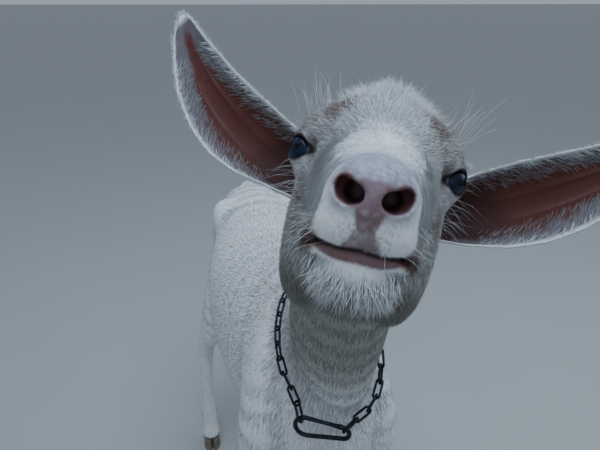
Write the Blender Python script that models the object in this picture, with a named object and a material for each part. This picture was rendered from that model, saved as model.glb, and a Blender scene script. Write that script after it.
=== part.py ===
"""A standing nanny goat with a chain collar, at life size, as a set of named closed solids.

Metres, +Z up. The goat faces -Y and its left side is at +X. It stands on the plane z = 0.
Flesh is worked out as a field of rounded forms that melt into one another, meshed on a grid,
and cut from its neighbours by Booleans.
"""

import math
from collections import namedtuple

import bmesh
import bpy
import numpy as np
from mathutils import Matrix, Vector

# Driving dimensions
GAP = 0.0003
ORIGIN = np.array([0.0355, 0.126, 0.0])

# The head's own frame: forward along the nose, left, and up through the poll, from between the eyes
HEAD_AT = np.array([-0.020, -0.280, 0.926])
HEAD_YAW = math.radians(20.0)
HEAD_PITCH = math.radians(22.3)
HEAD_ROLL = math.radians(10.8)
EYE_RADIUS = 0.0135
EYE_AT = np.array([-0.006, 0.0545, 0.0])
EYE_LOOK = np.array([0.78, 0.62, 0.02])
LID_THICKNESS = 0.0020
LID_OPENING = 0.0108
LID_CONE_DEPTH = 0.012
LID_CONE_NARROW, LID_CONE_WIDE = 0.86, 1.12
# The inner corner of the left eye, as a place and radii, and the nostril and mouth on the left,
# as stations of place, half width and half depth
INNER_CORNER = ((0.019, 0.0475, -0.001), (0.0115, 0.0070, 0.0075))
NOSTRIL_HOLE = (
    ((0.106, 0.0090, -0.0270), 0.0044, 0.0044),
    ((0.122, 0.0100, -0.0300), 0.0052, 0.0048),
    ((0.136, 0.0108, -0.0318), 0.0056, 0.0050),
)
NOSTRIL_WING = (
    ((0.1290, 0.0120, -0.0312), 0.0056, 0.0044),
    ((0.1262, 0.0152, -0.0288), 0.0052, 0.0044),
    ((0.1238, 0.0164, -0.0256), 0.0042, 0.0034),
    ((0.1222, 0.0168, -0.0234), 0.0030, 0.0024),
)
MOUTH = (
    ((0.122, 0.0000, -0.0598), 0.0050, 0.0014),
    ((0.119, 0.0127, -0.0608), 0.0046, 0.0014),
    ((0.114, 0.0205, -0.0602), 0.0044, 0.0014),
    ((0.105, 0.0272, -0.0598), 0.0044, 0.0014),
    ((0.093, 0.0315, -0.0612), 0.0040, 0.0016),
)

# Grid steps of the meshed flesh
HEAD_STEP = 0.0024
CROSSED_ROUNDS = 4
CROSSED_DEPTH = 0.0003
BODY_STEP = 0.009
LEG_STEP = 0.0055

# The ears, in the head's frame: where each leaves the head's outline, its tip, and where its cup faces
EAR_BASE = {"right": (-0.050, -0.072, -0.010), "left": (-0.044, 0.0785, -0.019)}
EAR_TIP = {"right": (-0.085, -0.209, 0.107), "left": (-0.047, 0.235, 0.082)}
EAR_FACES = {"right": (0.95, 0.10, -0.10), "left": (0.93, -0.15, -0.15)}
EAR_DROOP = {"right": 0.020, "left": 0.011}
EAR_THICKNESS = 0.0028

# The feet. A claw's level has its height, and the share of the length and of the width left there
CORONET_HEIGHT = 0.034
CLAW_LENGTH = 0.052
CLAW_WIDTH = 0.0205
CLAW_LEVELS = ((0, 1, 1), (0.012, 0.96, 0.98), (CORONET_HEIGHT - GAP, 0.72, 0.92))
CLEFT = 0.0035
TOE = 0.022
# A dewclaw from its foot's middle, its run from root to tip, and its radii along it
DEWCLAW_AT = (0.0125, 0.034, 0.072)
DEWCLAW_RUN = (0.004, 0.012, -0.014)
DEWCLAW_RADII = ((0.0, 0.0055), (0.6, 0.0048), (1.0, 0.0024))
FEET = {
    "front_left": (0.080, -0.028),
    "front_right": (-0.080, -0.028),
    "hind_left": (0.088, 0.478),
    "hind_right": (-0.140, 0.418),
}

# The chain collar: its plane, its clearance from the coat, a link's wire and outer size, and the snap's
COLLAR_AT = np.array([-0.012, -0.174, 0.574])
COLLAR_NORMAL = np.array([0.10, 0.74, -1.0])
COLLAR_STAND_OFF = 0.0096
LINK_WIRE = 0.00155
LINK_LENGTH = 0.028
LINK_WIDTH = 0.0114
END_LINK_WIDTH = 0.0142
LINK_PITCH = 0.0205
SNAP_WIRE = 0.0027
SNAP_LENGTH = 0.072
SNAP_WIDE_RADIUS = 0.0135
SNAP_NARROW_RADIUS = 0.0085
SNAP_AT = np.array([-0.0252, -0.1690, 0.5665])
SNAP_RUN = np.array([-0.868, 0.491, -0.03])
SNAP_HANGS = np.array([0.0, 0.0, -1.0])
HOOK_LEAN = (1.05, 0.95)
HOOK_CLEAR = 0.024
NECK_RADIUS = 0.085
LINK_PLAY = 0.0009
TURN_EASE = 5

# A lock of hair: its half sizes along it, and the crown's and the tail's locks
LOCK_PROFILE = ((0.0, 0.80), (0.34, 1.0), (0.68, 0.72), (1.0, 0.14))
POLL_ROWS = (
    # forward, up, half spread, count, length
    (-0.002, 0.046, 0.024, 5, 0.026),
    (-0.026, 0.058, 0.030, 6, 0.030),
    (-0.052, 0.054, 0.028, 5, 0.030),
)
POLL_WIDE, POLL_THICK, POLL_CURL, POLL_SUNK = 0.0125, 0.0038, 0.22, 0.006
TAIL_LOCK = (0.050, 0.013, 0.0045, 0.12)

Form = namedtuple("Form", "low high distance blend carve")
Group = namedtuple("Group", "forms blend carve")
Station = namedtuple("Station", "at wide deep")


def unit(vector):
    vector = np.asarray(vector, float)
    return vector / np.linalg.norm(vector)


def head_axes():
    """Rows: forward, left and up of the head, turned from straight ahead by yaw, pitch and roll."""
    forward = np.array(
        [
            -math.sin(HEAD_YAW) * math.cos(HEAD_PITCH),
            -math.cos(HEAD_YAW) * math.cos(HEAD_PITCH),
            math.sin(HEAD_PITCH),
        ]
    )
    left = np.array([math.cos(HEAD_YAW), -math.sin(HEAD_YAW), 0.0])
    up = np.cross(forward, left)
    cos_roll, sin_roll = math.cos(HEAD_ROLL), math.sin(HEAD_ROLL)
    return np.array([forward, left * cos_roll - up * sin_roll, up * cos_roll + left * sin_roll])


HEAD = head_axes()


def on_head(point):
    """A point given in the head's frame, in the goat's."""
    return HEAD_AT + np.asarray(point, float) @ HEAD


# Forms of the field: each gives a signed distance, and how widely it melts into what is there
def ellipsoid(centre, radii, blend=0.01, axes=None, carve=False):
    """Radial distance to an ellipsoid whose axes are the rows of axes."""
    centre, radii = np.asarray(centre, float), np.asarray(radii, float)
    axes = np.eye(3) if axes is None else axes
    reach = np.sqrt(((radii[:, None] * axes) ** 2).sum(0))

    def distance(points):
        local = (points - centre) @ axes.T
        length = np.sqrt((local**2).sum(-1))
        scaled = np.sqrt(((local / radii) ** 2).sum(-1))
        return length - length / np.maximum(scaled, 1e-6)

    return Form(centre - reach, centre + reach, distance, blend, carve)


def on_head_ellipsoid(centre, radii, blend=0.008, carve=False, axes=None):
    turned = HEAD if axes is None else axes @ HEAD
    return ellipsoid(on_head(centre), radii, blend, turned, carve)


def both_sides(maker, centre, radii, **options):
    """The same form on the left and on the right of the head."""
    mirrored = np.asarray(centre, float) * (1, -1, 1)
    return [maker(centre, radii, **options), maker(mirrored, radii, **options)]


def limb_piece(start, end, side, blend, ridge):
    """A tapered length with oval sections, wide along side. A ridge narrows its upper half."""
    a, b = start.at, end.at
    along = b - a
    length2 = along @ along
    run = unit(along)
    side = unit(side - (side @ run) * run)
    front = np.cross(run, side)
    most = max(start.wide, start.deep, end.wide, end.deep)

    def distance(points):
        share = np.clip(((points - a) @ along) / length2, 0, 1)
        offset = points - (a + share[..., None] * along)
        wide = start.wide + share * (end.wide - start.wide)
        deep = start.deep + share * (end.deep - start.deep)
        across = offset @ side
        over = offset @ front
        past = offset @ run
        narrow = 1 - ridge * np.clip(over / deep, -1, 1)
        round_end = np.minimum(wide, deep)
        scaled = np.sqrt(
            (across / (wide * narrow)) ** 2 + (over / deep) ** 2 + (past / round_end) ** 2
        )
        span = np.sqrt((offset**2).sum(-1))
        return span - span / np.maximum(scaled, 1e-6)

    low, high = np.minimum(a, b) - most, np.maximum(a, b) + most
    return Form(low, high, distance, blend, False)


def smooth_stations(stations, per_span=3):
    """Stations between the given ones, on a Catmull-Rom curve through their places and sizes."""
    rows = np.array([[*s.at, s.wide, s.deep] for s in stations], float)
    padded = np.vstack([2 * rows[0] - rows[1], rows, 2 * rows[-1] - rows[-2]])
    made = []
    for k in range(len(rows) - 1):
        p0, p1, p2, p3 = padded[k : k + 4]
        for t in np.arange(per_span) / per_span:
            made.append(
                0.5
                * (
                    2 * p1
                    + (p2 - p0) * t
                    + (2 * p0 - 5 * p1 + 4 * p2 - p3) * t**2
                    + (3 * p1 - p0 - 3 * p2 + p3) * t**3
                )
            )
    made.append(rows[-1])
    return [Station(row[:3], row[3], row[4]) for row in made]


def limb(stations, side=(1, 0, 0), blend=0.02, inner=0.006, ridge=0.0, per_span=3, carve=False):
    """Tapered lengths through the stations, melted together, and then as one into what is there."""
    side = np.asarray(side, float)
    run = smooth_stations([Station(np.asarray(at, float), w, d) for at, w, d in stations], per_span)
    forms = [limb_piece(a, b, side, inner, ridge) for a, b in zip(run, run[1:])]
    return Group(forms, blend, carve)


def soft_min(a, b, blend):
    """The smaller of the two, rounded off where they differ by less than blend."""
    near = np.maximum(blend - np.abs(a - b), 0) / blend
    return np.minimum(a, b) - near * near * blend / 4


def part_of(axes, low, high):
    """Slices of the grid lines that lie between two corners."""
    return tuple(
        slice(max(np.searchsorted(line, lo) - 1, 0), np.searchsorted(line, hi) + 1)
        for line, lo, hi in zip(axes, low, high)
    )


def grid_points(axes):
    return np.stack(np.meshgrid(*axes, indexing="ij"), -1)


FAR = 1.0


def add_form(values, axes, form):
    reach = form.blend + 0.01
    part = part_of(axes, form.low - reach, form.high + reach)
    if all(s.start < s.stop for s in part):
        points = grid_points([line[s] for line, s in zip(axes, part)])
        values[part] = joined(values[part], form.distance(points), form)


def joined(values, found, form):
    """The field with one more form melted in, or taken out."""
    if form.carve:
        return -soft_min(-values, found, form.blend)
    return soft_min(values, found, form.blend)


def fill(axes, forms):
    """The field on the grid: negative inside the flesh."""
    values = np.full([len(line) for line in axes], FAR)
    for form in forms:
        if isinstance(form, Group):
            own = np.full_like(values, FAR)
            for piece in form.forms:
                add_form(own, axes, piece)
            values = joined(values, own, form)
        else:
            add_form(values, axes, form)
    return values


def value_at(points, forms):
    """The field at any points."""
    values = np.full(points.shape[:-1], FAR)
    for form in forms:
        if isinstance(form, Group):
            found = np.full_like(values, FAR)
            for piece in form.forms:
                found = soft_min(found, piece.distance(points), piece.blend)
        else:
            found = form.distance(points)
        values = joined(values, found, form)
    return values


def surface_points(forms, start, directions, reach):
    """Where rays from inside the flesh leave it, found by halving."""
    inner = np.zeros(len(directions))
    outer = np.full(len(directions), reach)
    for _ in range(26):
        middle = (inner + outer) / 2
        inside = value_at(start + directions * middle[:, None], forms) < 0
        inner, outer = np.where(inside, middle, inner), np.where(inside, outer, middle)
    return start + directions * outer[:, None]


def slope_at(points, forms, step=0.0015):
    """Outward directions of the field at any points."""
    moved = points[..., None, :] + np.vstack([np.eye(3), -np.eye(3)]) * step
    found = value_at(moved, forms)
    slope = found[..., :3] - found[..., 3:]
    return slope / np.linalg.norm(slope, axis=-1, keepdims=True)


CORNERS = [(i, j, k) for i in (0, 1) for j in (0, 1) for k in (0, 1)]


def fill_crossed(values):
    """Fills grid faces whose corners are in, out, in, out, where the surface would touch itself."""
    for _ in range(CROSSED_ROUNDS):
        for axis in range(3):
            ends = []
            for first, second in ((0, 0), (1, 0), (1, 1), (0, 1)):
                place = [slice(None)] * 3
                for other, step in zip([n for n in range(3) if n != axis], (first, second)):
                    place[other] = slice(step, values.shape[other] - 1 + step)
                ends.append(values[tuple(place)])
            inside = [end < 0 for end in ends]
            crossed = (inside[0] == inside[2]) & (inside[1] == inside[3]) & (inside[0] != inside[1])
            for end in ends:
                end[crossed] = np.minimum(end[crossed], -CROSSED_DEPTH)


def surface_of(axes, values):
    """Points and quads of the surface where the field changes sign.

    Each cell with a crossing holds one point, at the mean of the crossings on its edges,
    and each grid line that crosses has a quad between the four cells round it.
    """
    for axis in range(3):
        ends = [slice(None)] * 3
        for end in (0, -1):
            ends[axis] = end
            values[tuple(ends)] = FAR
    fill_crossed(values)
    inside = values < 0
    cells_shape = np.array(values.shape) - 1
    count = sum(
        inside[i : i + cells_shape[0], j : j + cells_shape[1], k : k + cells_shape[2]].astype(np.int8)
        for i, j, k in CORNERS
    )
    cells = np.argwhere((count > 0) & (count < 8))
    number = np.full(cells_shape, -1, np.int64)
    number[tuple(cells.T)] = np.arange(len(cells))
    total, crossings = np.zeros((len(cells), 3)), np.zeros(len(cells))
    for corner in CORNERS:
        for axis in range(3):
            if corner[axis]:
                continue
            start = cells + corner
            end = start.copy()
            end[:, axis] += 1
            first, second = values[tuple(start.T)], values[tuple(end.T)]
            crossing = (first < 0) != (second < 0)
            share = np.where(crossing, first / np.where(crossing, first - second, 1), 0)
            place = np.stack([line[start[:, n]] for n, line in enumerate(axes)], -1)
            place[:, axis] += share * (axes[axis][end[:, axis]] - axes[axis][start[:, axis]])
            total += place * crossing[:, None]
            crossings += crossing
    quads = []
    for axis in range(3):
        first, second = [n for n in range(3) if n != axis]
        near, far = [slice(None)] * 3, [slice(None)] * 3
        near[axis], far[axis] = slice(None, -1), slice(1, None)
        lower, upper = inside[tuple(near)], inside[tuple(far)]
        edges = np.argwhere(lower != upper)
        edges = edges[(edges[:, first] > 0) & (edges[:, second] > 0)]
        ring = []
        for back_first, back_second in ((0, 0), (1, 0), (1, 1), (0, 1)):
            cell = edges.copy()
            cell[:, first] -= back_first
            cell[:, second] -= back_second
            ring.append(number[tuple(cell.T)])
        ring = np.stack(ring, -1)
        outward = lower[tuple(edges.T)] == (axis != 1)
        ring[~outward] = ring[~outward][:, ::-1]
        quads.append(ring)
    return total / crossings[:, None], np.vstack(quads)


# Blender objects
def material(name, colour, roughness, metallic=0.0):
    made = bpy.data.materials.new(name)
    made.use_nodes = True
    shader = made.node_tree.nodes["Principled BSDF"]
    shader.inputs["Base Color"].default_value = (*colour, 1.0)
    shader.inputs["Roughness"].default_value = roughness
    shader.inputs["Metallic"].default_value = metallic
    return made


def new_object(name, points, faces, skin=None):
    mesh = bpy.data.meshes.new(name)
    faces = faces if isinstance(faces, list) else faces.tolist()
    mesh.from_pydata(np.asarray(points).tolist(), [], faces)
    mesh.validate()
    obj = bpy.data.objects.new(name, mesh)
    bpy.context.scene.collection.objects.link(obj)
    if skin:
        mesh.materials.append(skin)
    return obj


def apply_modifiers(obj):
    graph = bpy.context.evaluated_depsgraph_get()
    mesh = bpy.data.meshes.new_from_object(obj.evaluated_get(graph))
    obj.modifiers.clear()
    obj.data = mesh


def remove(*objects):
    for obj in objects:
        bpy.data.objects.remove(obj)


def keep_largest(obj):
    """Leaves only the closed surface that takes up the most room."""
    work = bmesh.new()
    work.from_mesh(obj.data)
    seen, groups = set(), []
    for vertex in work.verts:
        if vertex in seen:
            continue
        group, front = [], [vertex]
        seen.add(vertex)
        while front:
            at = front.pop()
            group.append(at)
            for edge in at.link_edges:
                other = edge.other_vert(at)
                if other not in seen:
                    seen.add(other)
                    front.append(other)
        groups.append(group)
    groups.sort(key=len)
    loose = [v for group in groups[:-1] for v in group]
    bmesh.ops.delete(work, geom=loose, context="VERTS")
    work.to_mesh(obj.data)
    work.free()


def boolean(obj, other, operation, solver="EXACT"):
    tool = obj.modifiers.new(operation, "BOOLEAN")
    tool.operation, tool.solver, tool.object = operation, solver, other
    apply_modifiers(obj)


def thinned(obj, triangles):
    """Fewer triangles, with the shape kept where it bends most."""
    obj.data.calc_loop_triangles()
    now = len(obj.data.loop_triangles)
    if now > triangles:
        tool = obj.modifiers.new("thin", "DECIMATE")
        tool.ratio = triangles / now
        apply_modifiers(obj)


def grown(obj, by):
    """A copy pushed out along its normals, to cut a neighbour clear by a gap."""
    copy = obj.copy()
    copy.data = obj.data.copy()
    bpy.context.scene.collection.objects.link(copy)
    work = bmesh.new()
    work.from_mesh(copy.data)
    work.normal_update()
    for vertex in work.verts:
        vertex.co += vertex.normal * by * vertex.calc_shell_factor()
    work.to_mesh(copy.data)
    work.free()
    return copy


def cut_clear(obj, *neighbours):
    for neighbour in neighbours:
        cutter = grown(neighbour, GAP + 0.0001)
        boolean(obj, cutter, "DIFFERENCE")
        remove(cutter)
    keep_largest(obj)


def half_space(at, towards, size=1.6):
    """A big block whose one face passes through at, on the side that towards points to."""
    made = bmesh.new()
    bmesh.ops.create_cube(made, size=size)
    mesh = bpy.data.meshes.new("half_space")
    made.to_mesh(mesh)
    made.free()
    obj = bpy.data.objects.new("half_space", mesh)
    bpy.context.scene.collection.objects.link(obj)
    turn = Vector(unit(towards)).to_track_quat("Z", "Y").to_matrix().to_4x4()
    mesh.transform(Matrix.Translation(Vector(at)) @ turn @ Matrix.Translation((0, 0, size / 2)))
    return obj


def keep_beyond(obj, at, towards):
    """Keeps what lies on the side of the plane that towards points to, clear of it by half a gap."""
    towards = unit(towards)
    block = half_space(np.asarray(at) + towards * GAP / 2, towards)
    boolean(obj, block, "INTERSECT")
    remove(block)
    keep_largest(obj)


def lines(low, high, step):
    return [np.arange(lo, hi + step, step) for lo, hi in zip(low, high)]


def flesh(name, forms, low, high, step, triangles, skin):
    axes = lines(low, high, step)
    obj = new_object(name, *surface_of(axes, fill(axes, forms)), skin)
    keep_largest(obj)
    thinned(obj, triangles)
    return obj


# Anatomy
def torso_forms():
    front_to_back = [
        ((0, -0.110, 0.480), 0.056, 0.092),
        ((0, -0.060, 0.490), 0.080, 0.150),
        ((0, 0.020, 0.485), 0.096, 0.186),
        ((0, 0.130, 0.470), 0.116, 0.188),
        ((0, 0.250, 0.462), 0.123, 0.190),
        ((0, 0.360, 0.478), 0.112, 0.178),
        ((0, 0.455, 0.518), 0.090, 0.146),
        ((0, 0.540, 0.545), 0.072, 0.103),
        ((0, 0.600, 0.545), 0.044, 0.062),
    ]
    return [
        limb(front_to_back, blend=0.03, inner=0.012, ridge=0.26),
        ellipsoid((0, -0.118, 0.425), (0.046, 0.040, 0.060), 0.05),
        ellipsoid((0, 0.020, 0.630), (0.034, 0.085, 0.048), 0.05),
        ellipsoid((0.072, 0.445, 0.612), (0.026, 0.035, 0.030), 0.035),
        ellipsoid((-0.072, 0.445, 0.612), (0.026, 0.035, 0.030), 0.035),
    ]


def neck_forms():
    from_chest = [
        ((0.004, -0.034, 0.555), 0.054, 0.104),
        ((0.007, -0.090, 0.620), 0.049, 0.086),
        ((-0.002, -0.142, 0.700), 0.055, 0.072),
        ((-0.008, -0.188, 0.780), 0.051, 0.061),
        ((-0.010, -0.215, 0.850), 0.046, 0.056),
        ((-0.002, -0.232, 0.900), 0.040, 0.050),
    ]
    return [limb(from_chest, blend=0.04, inner=0.008)]


def leg_forms():
    forms = []
    for side, name in ((1, "left"), (-1, "right")):
        forms.append(front_leg(side, FEET["front_" + name]))
        forms.append(hind_leg(side, FEET["hind_" + name]))
    return forms


def toward_foot(stations, side, usual, foot):
    """The stations with the lower ones moved, so that the leg ends over its foot."""
    x, y = foot[0] - side * usual[0], foot[1] - usual[1]
    return [((side * at[0] + x * share, at[1] + y * share, at[2]), wide, deep)
            for at, wide, deep, share in stations]


def front_leg(side, foot):
    """From the shoulder blade to the coronet."""
    stations = [
        ((0.050, 0.020, 0.610), 0.020, 0.046, 0.0),
        ((0.074, -0.030, 0.545), 0.028, 0.062, 0.0),
        ((0.084, -0.065, 0.470), 0.034, 0.054, 0.0),
        ((0.084, -0.020, 0.400), 0.033, 0.048, 0.0),
        ((0.083, 0.004, 0.345), 0.026, 0.036, 0.2),
        ((0.082, -0.004, 0.280), 0.0205, 0.026, 0.4),
        ((0.080, -0.012, 0.222), 0.0215, 0.025, 0.6),
        ((0.080, -0.012, 0.195), 0.0190, 0.021, 0.7),
        ((0.080, -0.006, 0.130), 0.0148, 0.0165, 0.9),
        ((0.080, -0.004, 0.085), 0.0180, 0.0205, 1.0),
        ((0.080, -0.016, 0.055), 0.0175, 0.0185, 1.0),
        ((0.080, -0.024, 0.032), 0.0215, 0.0240, 1.0),
        ((0.080, -0.026, 0.015), 0.0215, 0.0240, 1.0),
    ]
    return limb(toward_foot(stations, side, (0.080, -0.028), foot), blend=0.02, inner=0.006)


def hind_leg(side, foot):
    """From the hip to the coronet."""
    stations = [
        ((0.056, 0.500, 0.575), 0.032, 0.066, 0.0),
        ((0.068, 0.470, 0.500), 0.041, 0.090, 0.1),
        ((0.078, 0.440, 0.420), 0.038, 0.078, 0.3),
        ((0.088, 0.455, 0.350), 0.029, 0.050, 0.5),
        ((0.088, 0.500, 0.300), 0.0205, 0.032, 0.75),
        ((0.088, 0.528, 0.262), 0.0210, 0.030, 0.9),
        ((0.088, 0.528, 0.225), 0.0180, 0.024, 0.93),
        ((0.088, 0.515, 0.150), 0.0150, 0.0180, 0.97),
        ((0.088, 0.506, 0.088), 0.0185, 0.0210, 1.0),
        ((0.088, 0.492, 0.056), 0.0175, 0.0185, 1.0),
        ((0.088, 0.482, 0.032), 0.0215, 0.0240, 1.0),
        ((0.088, 0.480, 0.015), 0.0215, 0.0240, 1.0),
    ]
    return limb(toward_foot(stations, side, (0.088, 0.478), foot), blend=0.02, inner=0.006)


def eye_axes(side):
    """Rows: where the eye looks, along its slit towards the nose, and across the slit."""
    look = unit(EYE_LOOK * (1, side, 1))
    slit = unit(np.cross(look, (0.0, 0.0, 1.0)) * side)
    return np.array([look, slit, np.cross(look, slit)])


def head_forms():
    forms = [
        on_head_ellipsoid((-0.035, 0, 0.014), (0.060, 0.048, 0.050), 0.02),
        on_head_ellipsoid((0.010, 0, 0.012), (0.048, 0.045, 0.036), 0.02),
    ]
    muzzle = [
        (on_head((-0.010, 0, -0.012)), 0.043, 0.048),
        (on_head((0.035, 0, -0.016)), 0.0395, 0.044),
        (on_head((0.075, 0, -0.030)), 0.0325, 0.037),
        (on_head((0.106, 0, -0.038)), 0.0260, 0.030),
    ]
    forms.append(limb(muzzle, side=HEAD[1], blend=0.015, inner=0.004))
    forms += both_sides(on_head_ellipsoid, (-0.004, 0.045, 0.010), (0.030, 0.017, 0.023), blend=0.014)
    forms += both_sides(on_head_ellipsoid, (-0.016, 0.036, -0.058), (0.045, 0.0230, 0.056), blend=0.03)
    jaw = [
        (on_head((-0.024, 0, -0.090)), 0.046, 0.031),
        (on_head((0.032, 0, -0.083)), 0.036, 0.026),
        (on_head((0.085, 0, -0.072)), 0.024, 0.017),
    ]
    forms.append(limb(jaw, side=HEAD[1], blend=0.02, inner=0.004))
    forms += [
        on_head_ellipsoid((0.116, 0, -0.030), (0.019, 0.0230, 0.019), 0.014),
        on_head_ellipsoid((0.098, 0, -0.074), (0.020, 0.0215, 0.0135), 0.008),
        on_head_ellipsoid((-0.055, 0, -0.062), (0.045, 0.040, 0.050), 0.03),
    ]
    forms += both_sides(on_head_ellipsoid, (0.106, 0.013, -0.050), (0.021, 0.0165, 0.0135), blend=0.009)
    forms += both_sides(on_head_ellipsoid, (0.080, 0.0215, -0.058), (0.027, 0.0120, 0.017), blend=0.012)
    lid = EYE_RADIUS + LID_THICKNESS
    forms += both_sides(on_head_ellipsoid, EYE_AT, (lid, lid, lid), blend=0.008)
    forms += both_sides(on_head_ellipsoid, *INNER_CORNER, blend=0.008, carve=True)
    for side in (1, -1):
        hole, wing = on_side(NOSTRIL_HOLE, side), on_side(NOSTRIL_WING, side)
        forms.append(limb(hole, side=HEAD[1], blend=0.002, inner=0.002, carve=True))
        forms.append(limb(wing, side=HEAD[0], blend=0.003, inner=0.002, carve=True))
    lips = on_side(MOUTH[:0:-1], -1) + on_side(MOUTH, 1)
    forms.append(limb(lips, side=HEAD[0], blend=0.0025, inner=0.002, carve=True))
    return forms


def on_side(stations, side):
    """Stations given on the head's left, moved to the goat's frame on the left or the right."""
    return [(on_head((x, y * side, z)), wide, deep) for (x, y, z), wide, deep in stations]


def eyeball(name, side, skin):
    work = bmesh.new()
    bmesh.ops.create_uvsphere(work, u_segments=12, v_segments=8, radius=EYE_RADIUS)
    mesh = bpy.data.meshes.new(name)
    work.to_mesh(mesh)
    work.free()
    mesh.transform(Matrix.Translation(Vector(on_head(EYE_AT * (1, side, 1)))))
    mesh.materials.append(skin)
    eye = bpy.data.objects.new(name, mesh)
    bpy.context.scene.collection.objects.link(eye)
    return eye


def opening_cutter(side):
    """A cone that takes the lids away in front of the eye."""
    look = eye_axes(side)[0] @ HEAD
    work = bmesh.new()
    bmesh.ops.create_cone(
        work, cap_ends=True, segments=14, depth=LID_CONE_DEPTH,
        radius1=LID_OPENING * LID_CONE_NARROW, radius2=LID_OPENING * LID_CONE_WIDE,
    )
    mesh = bpy.data.meshes.new("opening")
    work.to_mesh(mesh)
    work.free()
    place = Vector(on_head(EYE_AT * (1, side, 1)) + look * (EYE_RADIUS + 0.001))
    mesh.transform(Matrix.Translation(place) @ Vector(look).to_track_quat("Z", "Y").to_matrix().to_4x4())
    opening = bpy.data.objects.new("opening", mesh)
    bpy.context.scene.collection.objects.link(opening)
    return opening


def tube_mesh(name, path, radius, sides, skin, closed=True, first_side=(0, 0, 1)):
    """A round wire along a path of points, as a closed ring or with flat ends."""
    path = np.asarray(path, float)
    count = len(path)
    if closed:
        run = np.roll(path, -1, 0) - np.roll(path, 1, 0)
    else:
        run = np.gradient(path, axis=0)
    run /= np.linalg.norm(run, axis=1)[:, None]
    side = np.asarray(first_side, float) - (run @ np.asarray(first_side, float))[:, None] * run
    side /= np.linalg.norm(side, axis=1)[:, None]
    over = np.cross(run, side)
    angle = np.arange(sides) * 2 * np.pi / sides
    points = path[:, None] + radius * (
        np.cos(angle)[None, :, None] * side[:, None] + np.sin(angle)[None, :, None] * over[:, None]
    )
    faces = []
    for k in range(count if closed else count - 1):
        for n in range(sides):
            here, there = k * sides, (k + 1) % count * sides
            nxt = (n + 1) % sides
            faces.append([here + n, here + nxt, there + nxt, there + n])
    if not closed:
        faces.append(list(range(sides))[::-1])
        faces.append([(count - 1) * sides + n for n in range(sides)])
    return new_object(name, points.reshape(-1, 3), faces, skin)


def shell_mesh(name, front, back, skin):
    """A closed shell between two grids of points that share their rim."""
    rows, columns = front.shape[:2]

    def number(row, column):
        return row * columns + column

    shift = rows * columns
    faces = []
    for row in range(rows - 1):
        for column in range(columns - 1):
            a, b = number(row, column), number(row, column + 1)
            c, d = number(row + 1, column + 1), number(row + 1, column)
            faces += [[a, b, c], [a, c, d]]
            faces += [[n + shift for n in (a, c, b)], [n + shift for n in (a, d, c)]]
    points = np.concatenate([front.reshape(-1, 3), back.reshape(-1, 3)])
    rim = (
        [number(0, c) for c in range(columns)]
        + [number(r, columns - 1) for r in range(1, rows)]
        + [number(rows - 1, c) for c in range(columns - 2, -1, -1)]
        + [number(r, 0) for r in range(rows - 2, 0, -1)]
    )
    for a, b in zip(rim, rim[1:] + rim[:1]):
        faces += [[b, a, a + shift], [b, a + shift, b + shift]]
    return new_object(name, points, faces, skin)


def ear_sheet(name, rows, columns):
    """The ear's middle surface on a grid, its normals, and the grid's two parameters.

    Along the ear a station has a half width and a half angle of its arc: the root is nearly a
    tube, the middle an open cup and the tip almost flat.
    """
    side = 1 if name == "left" else -1
    base, tip = on_head(EAR_BASE[name]), on_head(EAR_TIP[name])
    along = unit(tip - base)
    faces = np.asarray(EAR_FACES[name]) @ HEAD
    faces = unit(faces - (faces @ along) * along)
    up = np.cross(along, faces) * -side
    length = np.linalg.norm(tip - base)
    share = np.linspace(-0.16, 1.0, rows)
    width = np.interp(
        share,
        (-0.16, -0.05, 0.0, 0.14, 0.30, 0.47, 0.68, 0.82, 0.92, 0.97, 1.0),
        (0.0130, 0.0230, 0.0275, 0.0330, 0.0350, 0.0325, 0.0260, 0.0185, 0.0125, 0.0075, 0.0025),
    )
    bend = np.radians(np.interp(share, (-0.16, 0.0, 0.2, 0.5, 0.8, 1.0), (125, 88, 66, 50, 38, 20)))
    droop = -EAR_DROOP[name] * np.clip(1 - (2 * share - 1) ** 2, 0, 1)
    middle = base + along * (share * length)[:, None] + up * droop[:, None]
    across = np.linspace(-1, 1, columns)
    angle = bend[:, None] * across
    radius = (width / np.sin(np.minimum(bend, np.pi / 2)))[:, None]
    sideways = radius * np.sin(angle)
    inward = radius * (np.cos(bend)[:, None] - np.cos(angle))
    sheet = middle[:, None] + up * sideways[..., None] + faces * inward[..., None]
    normal = np.cross(np.gradient(sheet, axis=0), np.gradient(sheet, axis=1))
    normal /= np.linalg.norm(normal, axis=-1, keepdims=True)
    if (normal[rows // 2, columns // 2] @ faces) < 0:
        normal = -normal
    return sheet, normal


def ear(name, skin):
    sheet, normal = ear_sheet(name, 13, 9)
    half = EAR_THICKNESS / 2
    front, back = sheet + normal * half, sheet - normal * half
    shell = shell_mesh("ear_" + name, front, back, skin)
    recalculated(shell)
    return shell


def recalculated(obj):
    """Faces made to point outwards."""
    work = bmesh.new()
    work.from_mesh(obj.data)
    bmesh.ops.recalc_face_normals(work, faces=work.faces)
    work.to_mesh(obj.data)
    work.free()


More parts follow.
